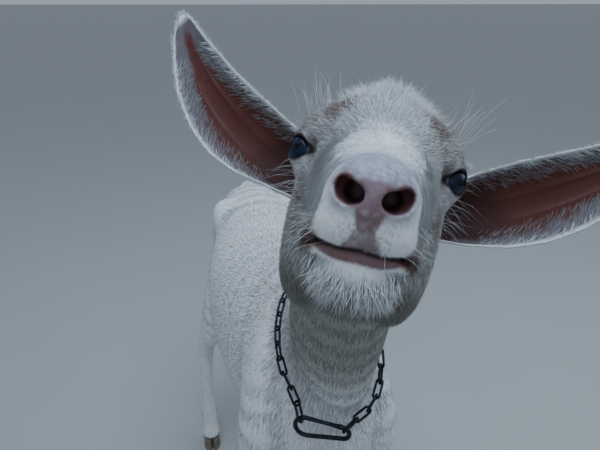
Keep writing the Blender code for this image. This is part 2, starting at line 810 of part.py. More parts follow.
def claw(name, foot, side, skin):
    """One half of a cloven hoof: a flat sole, a steep wall, and an inner wall along the cleft.

    Its outline runs from the toe back to the heel, and the wall leans back from the toe.
    """
    x, y = foot
    inner = CLEFT / 2
    ring = [(0.0, 0.0)]
    for share in np.linspace(0.06, 1, 6):
        swell = math.sin(math.pi * min(share * 1.25, 1) / 2) ** 0.6
        ring.append((CLAW_WIDTH * swell * (1 - 0.75 * share**4), share))
    ring.append((0.0, 1.0))
    points, faces = [], []
    for height, length, wide in CLAW_LEVELS:
        for across, back in ring:
            place = x + side * (inner + across * wide), y + TOE - back * length * CLAW_LENGTH
            points.append((*place, height))
    count = len(ring)
    for level in (0, count):
        for n in range(count):
            a, b = level + n, level + (n + 1) % count
            faces.append([a, b, b + count, a + count])
    faces += [list(range(count)), [2 * count + n for n in range(count)]]
    obj = new_object(name, points, faces, skin)
    recalculated(obj)
    return obj


def dewclaw(name, foot, side, skin):
    """A small blunt cone behind the pastern."""
    root = np.array([*foot, 0]) + np.array(DEWCLAW_AT) * (side, 1, 1)
    tip = root + np.array(DEWCLAW_RUN) * (side, 1, 1)
    run = unit(tip - root)
    across = unit(np.cross(run, (0, 0, 1)))
    over = np.cross(run, across)
    points, faces = [], []
    for share, radius in DEWCLAW_RADII:
        for n in range(6):
            angle = n * math.pi / 3
            spoke = math.cos(angle) * across + math.sin(angle) * over
            points.append(root + (tip - root) * share + radius * spoke)
    for level in (0, 6):
        for n in range(6):
            a, b = level + n, level + (n + 1) % 6
            faces.append([a, b, b + 6, a + 6])
    faces += [list(range(6)), [12 + n for n in range(6)]]
    obj = new_object(name, points, faces, skin)
    recalculated(obj)
    return obj


def lock_mesh(root, run, outward, length, wide, thick, curl):
    """A flat tapered lock that starts inside the flesh and bends over as it goes."""
    run, outward = unit(run), unit(outward)
    across = unit(np.cross(run, outward))
    points, faces = [], []
    for share, size in LOCK_PROFILE:
        rise = curl * (2 * share * (1 - share) - share**2)
        at = root + length * (run * share + outward * rise)
        for du, dn in ((1, 0), (0, 1), (-1, 0), (0, -1)):
            points.append(at + across * du * size * wide / 2 + outward * dn * size * thick / 2)
    for level in range(3):
        for n in range(4):
            a, b = level * 4 + n, level * 4 + (n + 1) % 4
            faces += [[a, b, b + 4], [a, b + 4, a + 4]]
    faces += [[0, 1, 2], [0, 2, 3], [12, 13, 14], [12, 14, 15]]
    obj = new_object("lock", points, faces)
    recalculated(obj)
    return obj


def fuse(obj, pieces):
    """All the pieces joined to the node by one union."""
    group = bpy.data.collections.new("pieces")
    for piece in pieces:
        group.objects.link(piece)
    tool = obj.modifiers.new("fuse", "BOOLEAN")
    tool.operation, tool.solver, tool.operand_type, tool.collection = "UNION", "EXACT", "COLLECTION", group
    apply_modifiers(obj)
    remove(*pieces)
    bpy.data.collections.remove(group)
    keep_largest(obj)


def poll_locks(forms):
    """Locks on the crown, fanning back and out from the forehead's whorl."""
    made = []
    start = on_head((-0.030, 0, 0.0))
    for forward, up, spread, count, length in POLL_ROWS:
        for across in np.linspace(-spread, spread, count):
            aim = unit(on_head((forward, across, up)) - start)
            place = surface_points(forms, start, aim[None], 0.12)
            outward = slope_at(place, forms)[0]
            lie = unit(np.array([-0.75, across * 16, 0.50]) @ HEAD)
            run = unit(lie + outward * 0.75)
            root = place[0] - outward * POLL_SUNK
            made.append(lock_mesh(root, run, outward, length, POLL_WIDE, POLL_THICK, POLL_CURL))
    return made


def tail_forms():
    stations = [
        ((0, 0.575, 0.622), 0.022, 0.020),
        ((0, 0.612, 0.612), 0.017, 0.015),
        ((0, 0.640, 0.585), 0.013, 0.011),
        ((0, 0.650, 0.550), 0.009, 0.008),
    ]
    return [limb(stations, blend=0.01, inner=0.004)]


def tail_locks():
    made = []
    for share in np.linspace(0.25, 1.0, 5):
        at = np.array([0, 0.600 + 0.050 * math.sin(share * 1.5), 0.618 - 0.068 * share**1.5])
        for side in (-1, 1):
            run = np.array([side * (0.55 - 0.35 * share), 0.35, -0.85])
            made.append(lock_mesh(at, run, (side * 0.3, 0.9, 0.3), *TAIL_LOCK))
    return made


def udder_forms():
    forms = [
        ellipsoid((0.022, 0.400, 0.318), (0.036, 0.056, 0.050), 0.02),
        ellipsoid((-0.022, 0.400, 0.318), (0.036, 0.056, 0.050), 0.02),
    ]
    for side in (1, -1):
        teat = [((0.026 * side, 0.372, 0.282), 0.012, 0.012), ((0.034 * side, 0.352, 0.240), 0.0075, 0.0075)]
        forms.append(limb(teat, blend=0.015, inner=0.003))
    return forms


def loop_arcs(length, radius_a, radius_b, per_end):
    """The two end arcs of a link or snap in its plane, as centre lines: joined, they are its outline."""
    centre_a, centre_b = radius_a - length / 2, length / 2 - radius_b
    lean = math.asin((radius_a - radius_b) / (centre_b - centre_a))
    turn_a = np.linspace(math.pi / 2 - lean, 3 * math.pi / 2 + lean, per_end)
    turn_b = np.linspace(-math.pi / 2 + lean, math.pi / 2 - lean, per_end)
    arc_a = np.stack([centre_a + radius_a * np.cos(turn_a), radius_a * np.sin(turn_a)], -1)
    arc_b = np.stack([centre_b + radius_b * np.cos(turn_b), radius_b * np.sin(turn_b)], -1)
    return arc_a, arc_b


def collar_route(forms):
    """The chain's centre line: round the neck in the collar's plane, clear of the coat."""
    normal = unit(COLLAR_NORMAL)
    front = unit(np.array([0, -1.0, 0]) - (np.array([0, -1.0, 0]) @ normal) * normal)
    across = np.cross(normal, front)
    centre = COLLAR_AT - front * NECK_RADIUS
    angle = np.linspace(0, 2 * np.pi, 181)[:-1]
    aims = np.cos(angle)[:, None] * front + np.sin(angle)[:, None] * across
    rim = surface_points(forms, centre, aims, 0.25) + aims * COLLAR_STAND_OFF
    for _ in range(6):
        rim = (np.roll(rim, 1, 0) + 2 * rim + np.roll(rim, -1, 0)) / 4
    return rim, normal


def snap_frame():
    """The snap's own directions: towards its wide end, up its short way, and out."""
    run = unit(SNAP_RUN)
    rise = unit(-SNAP_HANGS + (SNAP_HANGS @ run) * run)
    return run, rise, np.cross(run, rise)


def hook_points():
    """Where the chain's two ends take hold of the snap: points of its wire, and the wire's run there."""
    run, rise, _ = snap_frame()
    hooks = []
    for sign, radius, lean in ((1, SNAP_WIDE_RADIUS, HOOK_LEAN[0]), (-1, SNAP_NARROW_RADIUS, HOOK_LEAN[1])):
        centre = SNAP_LENGTH / 2 - SNAP_WIRE - radius
        spoke = run * sign * math.cos(lean) + rise * math.sin(lean)
        wire_run = rise * math.cos(lean) - run * sign * math.sin(lean)
        hooks.append((SNAP_AT + run * sign * centre + spoke * radius, wire_run))
    return hooks


def chain_line(forms):
    """The chain's centre line from the snap's wide end round the neck to its narrow end."""
    rim, normal = collar_route(forms)
    start, end = [place for place, _ in hook_points()]
    near = np.minimum(np.linalg.norm(rim - start, axis=1), np.linalg.norm(rim - end, axis=1)) < HOOK_CLEAR
    first = len(rim) // 8
    kept = [k for k in range(first, len(rim) - first) if not near[k]]
    fine = resampled(np.vstack([start, rim[kept], end]), 200)
    for _ in range(30):
        fine[1:-1] = (fine[:-2] + 2 * fine[1:-1] + fine[2:]) / 4
        sunk = np.maximum(COLLAR_STAND_OFF - value_at(fine, forms), 0)
        sunk[:12] = sunk[-12:] = 0
        fine += slope_at(fine, forms) * sunk[:, None]
    past = SNAP_WIRE + LINK_WIRE + LINK_PLAY
    span = LINK_LENGTH - 2 * LINK_WIRE - past
    first_run, last_run = [unit(places_along(way, np.array([span]))[0][0] - way[0])
                           for way in (fine, fine[::-1])]
    return np.vstack([start - first_run * past, fine, end - last_run * past]), normal


def resampled(line, count):
    gone = np.concatenate([[0], np.cumsum(np.linalg.norm(np.diff(line, axis=0), axis=1))])
    at = np.linspace(0, gone[-1], count)
    return np.stack([np.interp(at, gone, line[:, n]) for n in range(3)], -1)


def places_along(line, distance):
    gone = np.concatenate([[0], np.cumsum(np.linalg.norm(np.diff(line, axis=0), axis=1))])
    return np.stack([np.interp(distance, gone, line[:, n]) for n in range(3)], -1), gone[-1]


def link_turns(count, first, last):
    """Each link's angle: 45 degrees one way, then the other, eased into those of the end links."""
    index = np.arange(count)
    turns = np.where(index % 2, 1, -1) * math.pi / 4
    for wanted, steps in ((first, index), (last, index[::-1])):
        own = turns[0] if steps[0] == 0 else turns[-1]
        change = (wanted - own + math.pi / 2) % math.pi - math.pi / 2
        turns = turns + change * np.maximum(0, 1 - steps / TURN_EASE)
    return turns


def collar(forms, steel):
    """The links along their line, each a quarter turn from the last, and the snap between their ends."""
    chain, normal = chain_line(forms)
    _, whole = places_along(chain, np.zeros(1))
    half = LINK_LENGTH / 2 - LINK_WIRE
    count = math.ceil((whole - 2 * half) / LINK_PITCH) + 1
    middles = np.linspace(half, whole - half, count)
    ends = [places_along(chain, np.array([middle - half, middle + half]))[0] for middle in middles]
    runs = [unit(b - a) for a, b in ends]
    wanted = []
    for k, (_, wire_run) in zip((0, -1), hook_points()):
        flat = np.cross(wire_run, runs[k])
        outward = unit(np.cross(normal, runs[k]))
        wanted.append(math.atan2(flat @ np.cross(runs[k], outward), flat @ outward))
    for k, turn in enumerate(link_turns(count, *wanted)):
        outward = unit(np.cross(normal, runs[k]))
        over = np.cross(runs[k], outward)
        flat = math.cos(turn) * outward + math.sin(turn) * over
        width = END_LINK_WIDTH if k in (0, count - 1) else LINK_WIDTH
        line = np.vstack(loop_arcs(LINK_LENGTH - 2 * LINK_WIRE, *[width / 2 - LINK_WIRE] * 2, 5))
        path = ends[k].mean(0) + line[:, :1] * runs[k] + line[:, 1:] * flat
        tube_mesh("collar_link_%02d" % (k + 1), path, LINK_WIRE, 6, steel, True, np.cross(runs[k], flat))
    snap(steel)


def snap(steel):
    """A pear-shaped spring snap: a bent rod, open along its upper side, and the gate that shuts it."""
    run, rise, out = snap_frame()
    narrow, wide = loop_arcs(SNAP_LENGTH - 2 * SNAP_WIRE, SNAP_NARROW_RADIUS, SNAP_WIDE_RADIUS, 7)
    start, end = wide[-1], narrow[0]
    rod = np.vstack([start + (end - start) * 0.88, narrow, wide, start + (end - start) * 0.10])
    gate = np.array([start + (end - start) * share for share in (0.12, 0.5, 0.86)])
    for name, line, radius in (("collar_snap", rod, SNAP_WIRE), ("collar_snap_gate", gate, SNAP_WIRE * 0.9)):
        path = SNAP_AT + line[:, :1] * run + line[:, 1:] * rise
        tube_mesh(name, path, radius, 8, steel, False, out)


def box_between(low, high):
    work = bmesh.new()
    bmesh.ops.create_cube(work, size=1)
    mesh = bpy.data.meshes.new("box")
    work.to_mesh(mesh)
    work.free()
    low, high = np.asarray(low, float), np.asarray(high, float)
    mesh.transform(Matrix.Translation(Vector((low + high) / 2)) @ Matrix.Diagonal((*(high - low), 1)))
    box = bpy.data.objects.new("box", mesh)
    bpy.context.scene.collection.objects.link(box)
    return box


LEG_BOXES = {
    "foreleg_left": ((0.046, -0.20, -0.1), (0.30, 0.075, 0.445)),
    "foreleg_right": ((-0.30, -0.20, -0.1), (-0.046, 0.075, 0.445)),
    "hindleg_left": ((0.036, 0.335, -0.1), (0.30, 0.70, 0.500)),
    "hindleg_right": ((-0.30, 0.335, -0.1), (-0.036, 0.70, 0.500)),
}
NECK_CUT = (np.array([0, -0.100, 0.615]), np.array([0, -0.42, 0.91]))
HEAD_CUT = ((-0.050, 0, -0.075), (0.52, 0, 0.85))


def main():
    for obj in list(bpy.data.objects):
        bpy.data.objects.remove(obj)
    white = material("white_coat", (0.80, 0.80, 0.79), 0.85)
    pink = material("ear_and_udder_skin", (0.42, 0.25, 0.23), 0.6)
    dark_eye = material("eye", (0.01, 0.012, 0.02), 0.05)
    horn = material("hoof_horn", (0.16, 0.13, 0.10), 0.5)
    steel = material("black_steel", (0.03, 0.03, 0.035), 0.4, 0.9)

    trunk = torso_forms() + neck_forms()
    whole = trunk + leg_forms()
    head_cut = on_head(HEAD_CUT[0]), np.asarray(HEAD_CUT[1]) @ HEAD

    body = flesh("torso", whole, (-0.22, -0.30, 0.20), (0.22, 0.66, 0.99), BODY_STEP, 5000, white)
    neck = body.copy()
    neck.name, neck.data = "neck", body.data.copy()
    bpy.context.scene.collection.objects.link(neck)
    keep_beyond(neck, *NECK_CUT)
    keep_beyond(neck, head_cut[0], -head_cut[1])
    keep_beyond(body, NECK_CUT[0], -NECK_CUT[1])
    for name, (low, high) in LEG_BOXES.items():
        side = 1 if name.endswith("left") else -1
        inner_low, inner_high = (0.02, 0.20) if side > 0 else (-0.20, -0.02)
        leg_low, leg_high = (inner_low, low[1] - 0.02, 0.0), (inner_high, high[1] + 0.02, 0.56)
        leg = flesh(name, whole, leg_low, leg_high, LEG_STEP, 1500, white)
        block = box_between(np.array(low) + GAP, np.array(high) - GAP)
        boolean(leg, block, "INTERSECT")
        remove(block)
        block = box_between(low, high)
        boolean(body, block, "DIFFERENCE")
        remove(block)
        keep_beyond(leg, (0, 0, CORONET_HEIGHT), (0, 0, 1))
        keep_largest(leg)
        thinned(leg, 520)
    keep_largest(body)
    thinned(body, 2000)
    thinned(neck, 420)

    face = neck_forms() + head_forms()
    head = flesh("head", face, (-0.17, -0.46, 0.74), (0.15, -0.12, 1.06), HEAD_STEP, 3600, white)
    keep_beyond(head, *head_cut)
    eyes = [eyeball("eye_" + name, side, dark_eye) for side, name in ((1, "left"), (-1, "right"))]
    for side, eye in zip((1, -1), eyes):
        lid_opening = opening_cutter(side)
        boolean(head, lid_opening, "DIFFERENCE")
        remove(lid_opening)
        cut_clear(head, eye)
    for name in ("left", "right"):
        cup = ear(name, pink)
        cut_clear(cup, head)
    fuse(head, poll_locks(face))

    tail = flesh("tail", tail_forms(), (-0.05, 0.54, 0.52), (0.05, 0.69, 0.66), 0.005, 260, white)
    fuse(tail, tail_locks())
    cut_clear(tail, body)
    udder = flesh("udder", udder_forms(), (-0.08, 0.32, 0.22), (0.08, 0.48, 0.40), 0.006, 320, pink)
    legs = [bpy.data.objects["hindleg_left"], bpy.data.objects["hindleg_right"]]
    cut_clear(udder, body, *legs)
    for foot_name, foot in FEET.items():
        for side, place in ((1, "a"), (-1, "b")):
            claw("hoof_%s_%s" % (foot_name, place), foot, side, horn)
            dew = dewclaw("dewclaw_%s_%s" % (foot_name, place), foot, side, horn)
            leg = bpy.data.objects[foot_name.replace("front", "foreleg").replace("hind", "hindleg")]
            cut_clear(dew, leg)
    collar(trunk, steel)
    for obj in bpy.data.objects:
        obj.data.transform(Matrix.Translation(Vector(-ORIGIN)))


if __name__ == "__main__":
    main()
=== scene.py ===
"""The looks of a white nanny goat with a chain collar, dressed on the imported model.

One skin takes the place of the flesh, ears and udder. Over it lies a coat of small solid tufts
that follow the lie of the hair. Places are worked out in the goat's own frame, which faces -Y,
has its left side at +X and its floor at z = 0, and are moved by ORIGIN at the end.
"""

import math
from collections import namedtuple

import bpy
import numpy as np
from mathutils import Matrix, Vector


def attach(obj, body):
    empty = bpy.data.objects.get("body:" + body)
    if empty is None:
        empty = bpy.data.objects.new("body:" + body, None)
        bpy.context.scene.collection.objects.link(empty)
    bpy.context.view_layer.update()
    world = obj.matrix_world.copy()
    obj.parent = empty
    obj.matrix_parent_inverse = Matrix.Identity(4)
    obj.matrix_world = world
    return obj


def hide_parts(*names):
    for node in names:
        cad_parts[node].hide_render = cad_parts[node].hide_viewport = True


bl_info = {
    "name": "Nanny Goat",
    "version": (1, 0, 0),
    "blender": (4, 5, 0),
    "location": "3D View > Sidebar > Goat",
    "description": "Builds a white nanny goat's skin, coat, eyes, hooves and chain collar",
    "category": "Object",
}

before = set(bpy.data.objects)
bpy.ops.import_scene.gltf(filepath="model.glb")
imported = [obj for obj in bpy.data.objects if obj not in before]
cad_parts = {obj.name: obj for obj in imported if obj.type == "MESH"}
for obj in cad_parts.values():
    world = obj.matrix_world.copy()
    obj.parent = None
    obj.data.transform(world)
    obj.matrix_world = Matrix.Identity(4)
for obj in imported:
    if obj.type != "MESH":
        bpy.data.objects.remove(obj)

ORIGIN = np.array([0.0355, 0.126, 0.0])
FLESH = ("torso", "neck", "head", "tail", "udder", "ear_left", "ear_right",
         "foreleg_left", "foreleg_right", "hindleg_left", "hindleg_right")
FEET = {
    "front_left": (0.080, -0.028),
    "front_right": (-0.080, -0.028),
    "hind_left": (0.088, 0.478),
    "hind_right": (-0.140, 0.418),
}

# The head's own frame: forward along the nose, left, and up through the poll, from between the eyes
HEAD_AT = np.array([-0.020, -0.280, 0.926])
HEAD_YAW = math.radians(20.0)
HEAD_PITCH = math.radians(22.3)
HEAD_ROLL = math.radians(10.8)
EYE_RADIUS = 0.0135
EYE_AT = np.array([-0.006, 0.0545, 0.0])
EYE_LOOK = np.array([0.78, 0.62, 0.02])
EYE_GAZE = np.array([0.72, 0.69, 0.04])
LID = 0.0020
EYE_OPENING = (0.0125, 0.0085)
INNER_CORNER = ((0.019, 0.0475, -0.001), (0.0092, 0.0056, 0.0060))
WHORL = np.array([0.078, 0.0, -0.004])
# Nostril and mouth on the left, as stations of place, half width and half depth
NOSTRIL_HOLE = (
    ((0.106, 0.0090, -0.0270), 0.0044, 0.0044),
    ((0.122, 0.0098, -0.0302), 0.0047, 0.0043),
    ((0.136, 0.0106, -0.0320), 0.0051, 0.0045),
)
NOSTRIL_WING = (
    ((0.1290, 0.0120, -0.0314), 0.0054, 0.0040),
    ((0.1262, 0.0146, -0.0300), 0.0050, 0.0041),
    ((0.1238, 0.0152, -0.0282), 0.0040, 0.0034),
    ((0.1220, 0.0160, -0.0268), 0.0028, 0.0022),
)
MOUTH = (
    ((0.122, 0.0000, -0.0598), 0.0050, 0.0011),
    ((0.119, 0.0127, -0.0608), 0.0046, 0.0011),
    ((0.114, 0.0205, -0.0602), 0.0044, 0.0011),
    ((0.105, 0.0272, -0.0598), 0.0044, 0.0012),
    ((0.093, 0.0315, -0.0612), 0.0040, 0.0014),
)
LIP_WIDTH = 0.0285
LIP_HEIGHT = 0.0072
EAR_BASE = {"right": (-0.050, -0.072, -0.010), "left": (-0.044, 0.0785, -0.019)}
EAR_TIP = {"right": (-0.085, -0.209, 0.107), "left": (-0.047, 0.235, 0.082)}
EAR_FACES = {"right": (0.95, 0.10, -0.10), "left": (0.93, -0.15, -0.15)}
EAR_DROOP = {"right": 0.020, "left": 0.011}
EAR_THICKNESS = 0.0022
EAR_ROOT = -0.16
EAR_ROWS, EAR_COLUMNS = 76, 33
EAR_RIDGES = (-0.30, 0.18)

# Patches of the markings, as place and radii: on the head's left, and with a share on the body
STREAK = ((0.022, 0.0455, -0.034), (0.012, 0.010, 0.013))
BUD = ((0.024, 0.031, 0.032), (0.015, 0.010, 0.011))
TEAR = ((0.022, 0.0465, -0.004), (0.011, 0.007, 0.006))
BODY_ROAN = (
    (0.42, (-0.035, 0.02, 0.655), (0.05, 0.07, 0.05)),
    (0.40, (-0.055, -0.11, 0.68), (0.035, 0.05, 0.11)),
    (0.30, (-0.020, -0.16, 0.50), (0.035, 0.05, 0.04)),
)

# Feet and collar
CORONET = 0.0337
COAT_OVER_HOOF = 0.0320
CLAW_LENGTH = 0.052
CLAW_WIDTH = 0.0205
CLEFT = 0.0035
TOE = 0.022
LINK_WIRE = 0.00155
SNAP_WIRE = 0.0027
SNAP_LENGTH = 0.072
SNAP_WIDE_RADIUS = 0.0135
SNAP_NARROW_RADIUS = 0.0085
SNAP_AT = np.array([-0.0252, -0.1690, 0.5665])
SNAP_RUN = np.array([-0.868, 0.491, -0.03])

# The camera: where it stands in the goat's frame, how it is turned, and its lens
CAMERA_AT = np.array([-0.167, -0.640, 1.039])
CAMERA_DOWN = math.radians(22.8)
CAMERA_LEFT = math.radians(-13.7)
CAMERA_LENS = 31.8
FLOOR_HALF = 300.0

Form = namedtuple("Form", "low high distance blend carve")
Group = namedtuple("Group", "forms blend carve")
FAR = 1.0
SKIN_SHARE = 0.66
HUG_REACH = 0.012
ROOT_SUNK = 0.0006
BEND_AT = 0.52
WIDTH_AT_BEND = 0.74
PATCH_HALF = 0.0015
UNWRAP_MARGIN = 0.004
HORN_RING = 0.0042
SENSOR_WIDTH = 36.0
NEAREST_SEEN = 0.02


def unit(vector):
    vector = np.asarray(vector, float)
    return vector / np.linalg.norm(vector, axis=-1, keepdims=True)


def ramp(values, low, high):
    """0 below low and 1 above high, with a smooth step between them. Low may be the larger."""
    share = np.clip((values - low) / (high - low), 0, 1)
    return share * share * (3 - 2 * share)


def head_axes():
    """Rows: forward, left and up of the head, turned from straight ahead by yaw, pitch and roll."""
    forward = np.array([-math.sin(HEAD_YAW) * math.cos(HEAD_PITCH),
                        -math.cos(HEAD_YAW) * math.cos(HEAD_PITCH), math.sin(HEAD_PITCH)])
    left = np.array([math.cos(HEAD_YAW), -math.sin(HEAD_YAW), 0.0])
    up = np.cross(forward, left)
    cos_roll, sin_roll = math.cos(HEAD_ROLL), math.sin(HEAD_ROLL)
    return np.array([forward, left * cos_roll - up * sin_roll, up * cos_roll + left * sin_roll])


HEAD = head_axes()


def on_head(point):
    """A point given in the head's frame, in the goat's."""
    return HEAD_AT + np.asarray(point, float) @ HEAD


def in_head(points):
    """Points of the goat's frame, in the head's."""
    return (points - HEAD_AT) @ HEAD.T


def mirrored(head):
    """Points of the head's frame, all brought to its left side."""
    return head * (1, 0, 1) + np.abs(head) * (0, 1, 0)


# Forms of the field, which is negative inside the flesh and about a distance near its surface
def ellipsoid(centre, radii, blend=0.01, axes=None, carve=False):
    """Radial distance to an ellipsoid: |p| - |p| / |p / radii|, along the rows of axes."""
    centre, radii = np.asarray(centre, float), np.asarray(radii, float)
    axes = np.eye(3) if axes is None else axes
    reach = np.sqrt(((radii[:, None] * axes) ** 2).sum(0))

    def distance(points):
        local = (points - centre) @ axes.T
        length = np.sqrt((local**2).sum(-1))
        scaled = np.sqrt(((local / radii) ** 2).sum(-1))
        return length - length / np.maximum(scaled, 1e-6)

    return Form(centre - reach, centre + reach, distance, blend, carve)


def head_ellipsoid(centre, radii, blend=0.008, carve=False):
    return ellipsoid(on_head(centre), radii, blend, HEAD, carve)


def both_sides(centre, radii, **options):
    """The same ellipsoid on the left and on the right of the head."""
    other = np.asarray(centre, float) * (1, -1, 1)
    return [head_ellipsoid(centre, radii, **options), head_ellipsoid(other, radii, **options)]


def limb_piece(start, end, side, blend, ridge):
    """A tapered length with oval sections, wide along side. A ridge narrows its upper half."""
    a, b = start[:3], end[:3]
    along = b - a
    run = unit(along)
    side = unit(side - (side @ run) * run)
    front = np.cross(run, side)
    most = max(*start[3:], *end[3:])

    def distance(points):
        share = np.clip(((points - a) @ along) / (along @ along), 0, 1)
        offset = points - (a + share[..., None] * along)
        wide = start[3] + share * (end[3] - start[3])
        deep = start[4] + share * (end[4] - start[4])
        over = offset @ front
        narrow = 1 - ridge * np.clip(over / deep, -1, 1)
        scaled = np.sqrt(((offset @ side) / (wide * narrow)) ** 2 + (over / deep) ** 2
                         + ((offset @ run) / np.minimum(wide, deep)) ** 2)
        span = np.sqrt((offset**2).sum(-1))
        return span - span / np.maximum(scaled, 1e-6)

    return Form(np.minimum(a, b) - most, np.maximum(a, b) + most, distance, blend, False)


def limb(stations, side=(1, 0, 0), blend=0.02, inner=0.006, ridge=0.0, per_span=3, carve=False):
    """Tapered lengths along a Catmull-Rom curve through stations of place, half width and half depth."""
    rows = np.array([[*at, wide, deep] for at, wide, deep in stations], float)
    padded = np.vstack([2 * rows[0] - rows[1], rows, 2 * rows[-1] - rows[-2]])
    run = []
    for p0, p1, p2, p3 in zip(padded, padded[1:], padded[2:], padded[3:]):
        for t in np.arange(per_span) / per_span:
            run.append(0.5 * (2 * p1 + (p2 - p0) * t + (2 * p0 - 5 * p1 + 4 * p2 - p3) * t**2
                              + (3 * p1 - p0 - 3 * p2 + p3) * t**3))
    run.append(rows[-1])
    side = np.asarray(side, float)
    return Group([limb_piece(a, b, side, inner, ridge) for a, b in zip(run, run[1:])], blend, carve)


def soft_min(a, b, blend):
    """The smaller of the two, rounded off where they differ by less than blend."""
    near = np.maximum(blend - np.abs(a - b), 0) / blend
    return np.minimum(a, b) - near * near * blend / 4


def part_of(axes, low, high):
    return tuple(slice(max(np.searchsorted(line, lo) - 1, 0), np.searchsorted(line, hi) + 1)
                 for line, lo, hi in zip(axes, low, high))


def joined(values, found, form):
    """The field with one more form melted in, or taken out."""
    if form.carve:
        return -soft_min(-values, found, form.blend)
    return soft_min(values, found, form.blend)


def add_form(values, axes, form):
    """One form, or the pieces of a group as one, worked out only where it reaches."""
    pieces = form.forms if isinstance(form, Group) else [form]
    widest = max(piece.blend for piece in pieces)
    reach = max(form.blend, widest) + 0.012
    low = np.min([piece.low for piece in pieces], 0) - reach
    high = np.max([piece.high for piece in pieces], 0) + reach
    part = part_of(axes, low, high)
    if any(s.start >= s.stop for s in part):
        return
    lines = [line[s] for line, s in zip(axes, part)]
    if isinstance(form, Group):
        own = np.full([len(line) for line in lines], FAR)
        for piece in pieces:
            add_form(own, lines, piece)
    else:
        own = form.distance(np.stack(np.meshgrid(*lines, indexing="ij"), -1))
    values[part] = joined(values[part], own, form)


CORNERS = [(i, j, k) for i in (0, 1) for j in (0, 1) for k in (0, 1)]


def fill_crossed(values):
    """Fills grid faces whose corners are in, out, in, out, where the surface would touch itself."""
    for _ in range(4):
        for axis in range(3):
            ends = []
            for steps in ((0, 0), (1, 0), (1, 1), (0, 1)):
                place = [slice(None)] * 3
                for other, step in zip([n for n in range(3) if n != axis], steps):
                    place[other] = slice(step, values.shape[other] - 1 + step)
                ends.append(values[tuple(place)])
            inside = [end < 0 for end in ends]
            crossed = (inside[0] == inside[2]) & (inside[1] == inside[3]) & (inside[0] != inside[1])
            for end in ends:
                end[crossed] = np.minimum(end[crossed], -0.0002)


def surface_of(axes, values):
    """Points and quads where the field changes sign.

    Each cell with a crossing holds one point, at the mean of the crossings on its edges,
    and each grid line that crosses has a quad between the four cells round it.
    """
    fill_crossed(values)
    inside = values < 0
    shape = np.array(values.shape) - 1
    count = sum(inside[i:i + shape[0], j:j + shape[1], k:k + shape[2]].astype(np.int8)
                for i, j, k in CORNERS)
    cells = np.argwhere((count > 0) & (count < 8))
    number = np.full(shape, -1, np.int64)
    number[tuple(cells.T)] = np.arange(len(cells))
    total, crossings = np.zeros((len(cells), 3)), np.zeros(len(cells))
    for corner in CORNERS:
        for axis in range(3):
            if corner[axis]:
                continue
            start = cells + corner
            end = start.copy()
            end[:, axis] += 1
            first, second = values[tuple(start.T)], values[tuple(end.T)]
            crossing = (first < 0) != (second < 0)
            share = np.where(crossing, first / np.where(crossing, first - second, 1), 0)
            place = np.stack([line[start[:, n]] for n, line in enumerate(axes)], -1)
            place[:, axis] += share * (axes[axis][end[:, axis]] - axes[axis][start[:, axis]])
            total += place * crossing[:, None]
            crossings += crossing
    quads = []
    for axis in range(3):
        first, second = [n for n in range(3) if n != axis]
        near, far = [slice(None)] * 3, [slice(None)] * 3
        near[axis], far[axis] = slice(None, -1), slice(1, None)
        lower, upper = inside[tuple(near)], inside[tuple(far)]
        edges = np.argwhere(lower != upper)
        edges = edges[(edges[:, first] > 0) & (edges[:, second] > 0)]
        ring = []
        for back_first, back_second in ((0, 0), (1, 0), (1, 1), (0, 1)):
            cell = edges.copy()
            cell[:, first] -= back_first
            cell[:, second] -= back_second
            ring.append(number[tuple(cell.T)])
        ring = np.stack(ring, -1)
        outward = lower[tuple(edges.T)] == (axis != 1)
        ring[~outward] = ring[~outward][:, ::-1]
        quads.append(ring)
    return total / crossings[:, None], np.vstack(quads)


def smoothed(points, quads, rounds):
    """Each point drawn towards the mean of its neighbours, then pushed back out a little less."""
    ends = np.concatenate([quads[:, [n, (n + 1) % 4]] for n in range(4)])
    count = np.bincount(ends[:, 0], minlength=len(points)) + np.bincount(ends[:, 1], minlength=len(points))
    for _ in range(rounds):
        for step in (0.50, -0.52):
            mean = np.zeros_like(points)
            for n in range(3):
                mean[:, n] = (np.bincount(ends[:, 0], points[ends[:, 1], n], len(points))
                              + np.bincount(ends[:, 1], points[ends[:, 0], n], len(points)))
            points = points + step * (mean / count[:, None] - points)
    return points


# Anatomy
def trunk_forms():
    front_to_back = [
        ((0, -0.110, 0.480), 0.056, 0.092),
        ((0, -0.060, 0.490), 0.080, 0.150),
        ((0, 0.020, 0.485), 0.096, 0.186),
        ((0, 0.130, 0.470), 0.116, 0.188),
        ((0, 0.250, 0.462), 0.123, 0.190),
        ((0, 0.360, 0.478), 0.112, 0.178),
        ((0, 0.455, 0.518), 0.090, 0.146),
        ((0, 0.540, 0.545), 0.072, 0.103),
        ((0, 0.600, 0.545), 0.044, 0.062),
    ]
    from_chest = [
        ((0.004, -0.034, 0.555), 0.054, 0.104),
        ((0.007, -0.090, 0.620), 0.049, 0.086),
        ((-0.002, -0.142, 0.700), 0.055, 0.072),
        ((-0.008, -0.188, 0.780), 0.051, 0.061),
        ((-0.010, -0.215, 0.850), 0.046, 0.056),
        ((-0.002, -0.232, 0.900), 0.040, 0.050),
    ]
    return [
        limb(front_to_back, blend=0.03, inner=0.012, ridge=0.26),
        ellipsoid((0, -0.118, 0.425), (0.046, 0.040, 0.060), 0.05),
        ellipsoid((0, 0.020, 0.630), (0.034, 0.085, 0.048), 0.05),
        ellipsoid((0.072, 0.445, 0.612), (0.026, 0.035, 0.030), 0.035),
        ellipsoid((-0.072, 0.445, 0.612), (0.026, 0.035, 0.030), 0.035),
        limb(from_chest, blend=0.04, inner=0.008),
    ]


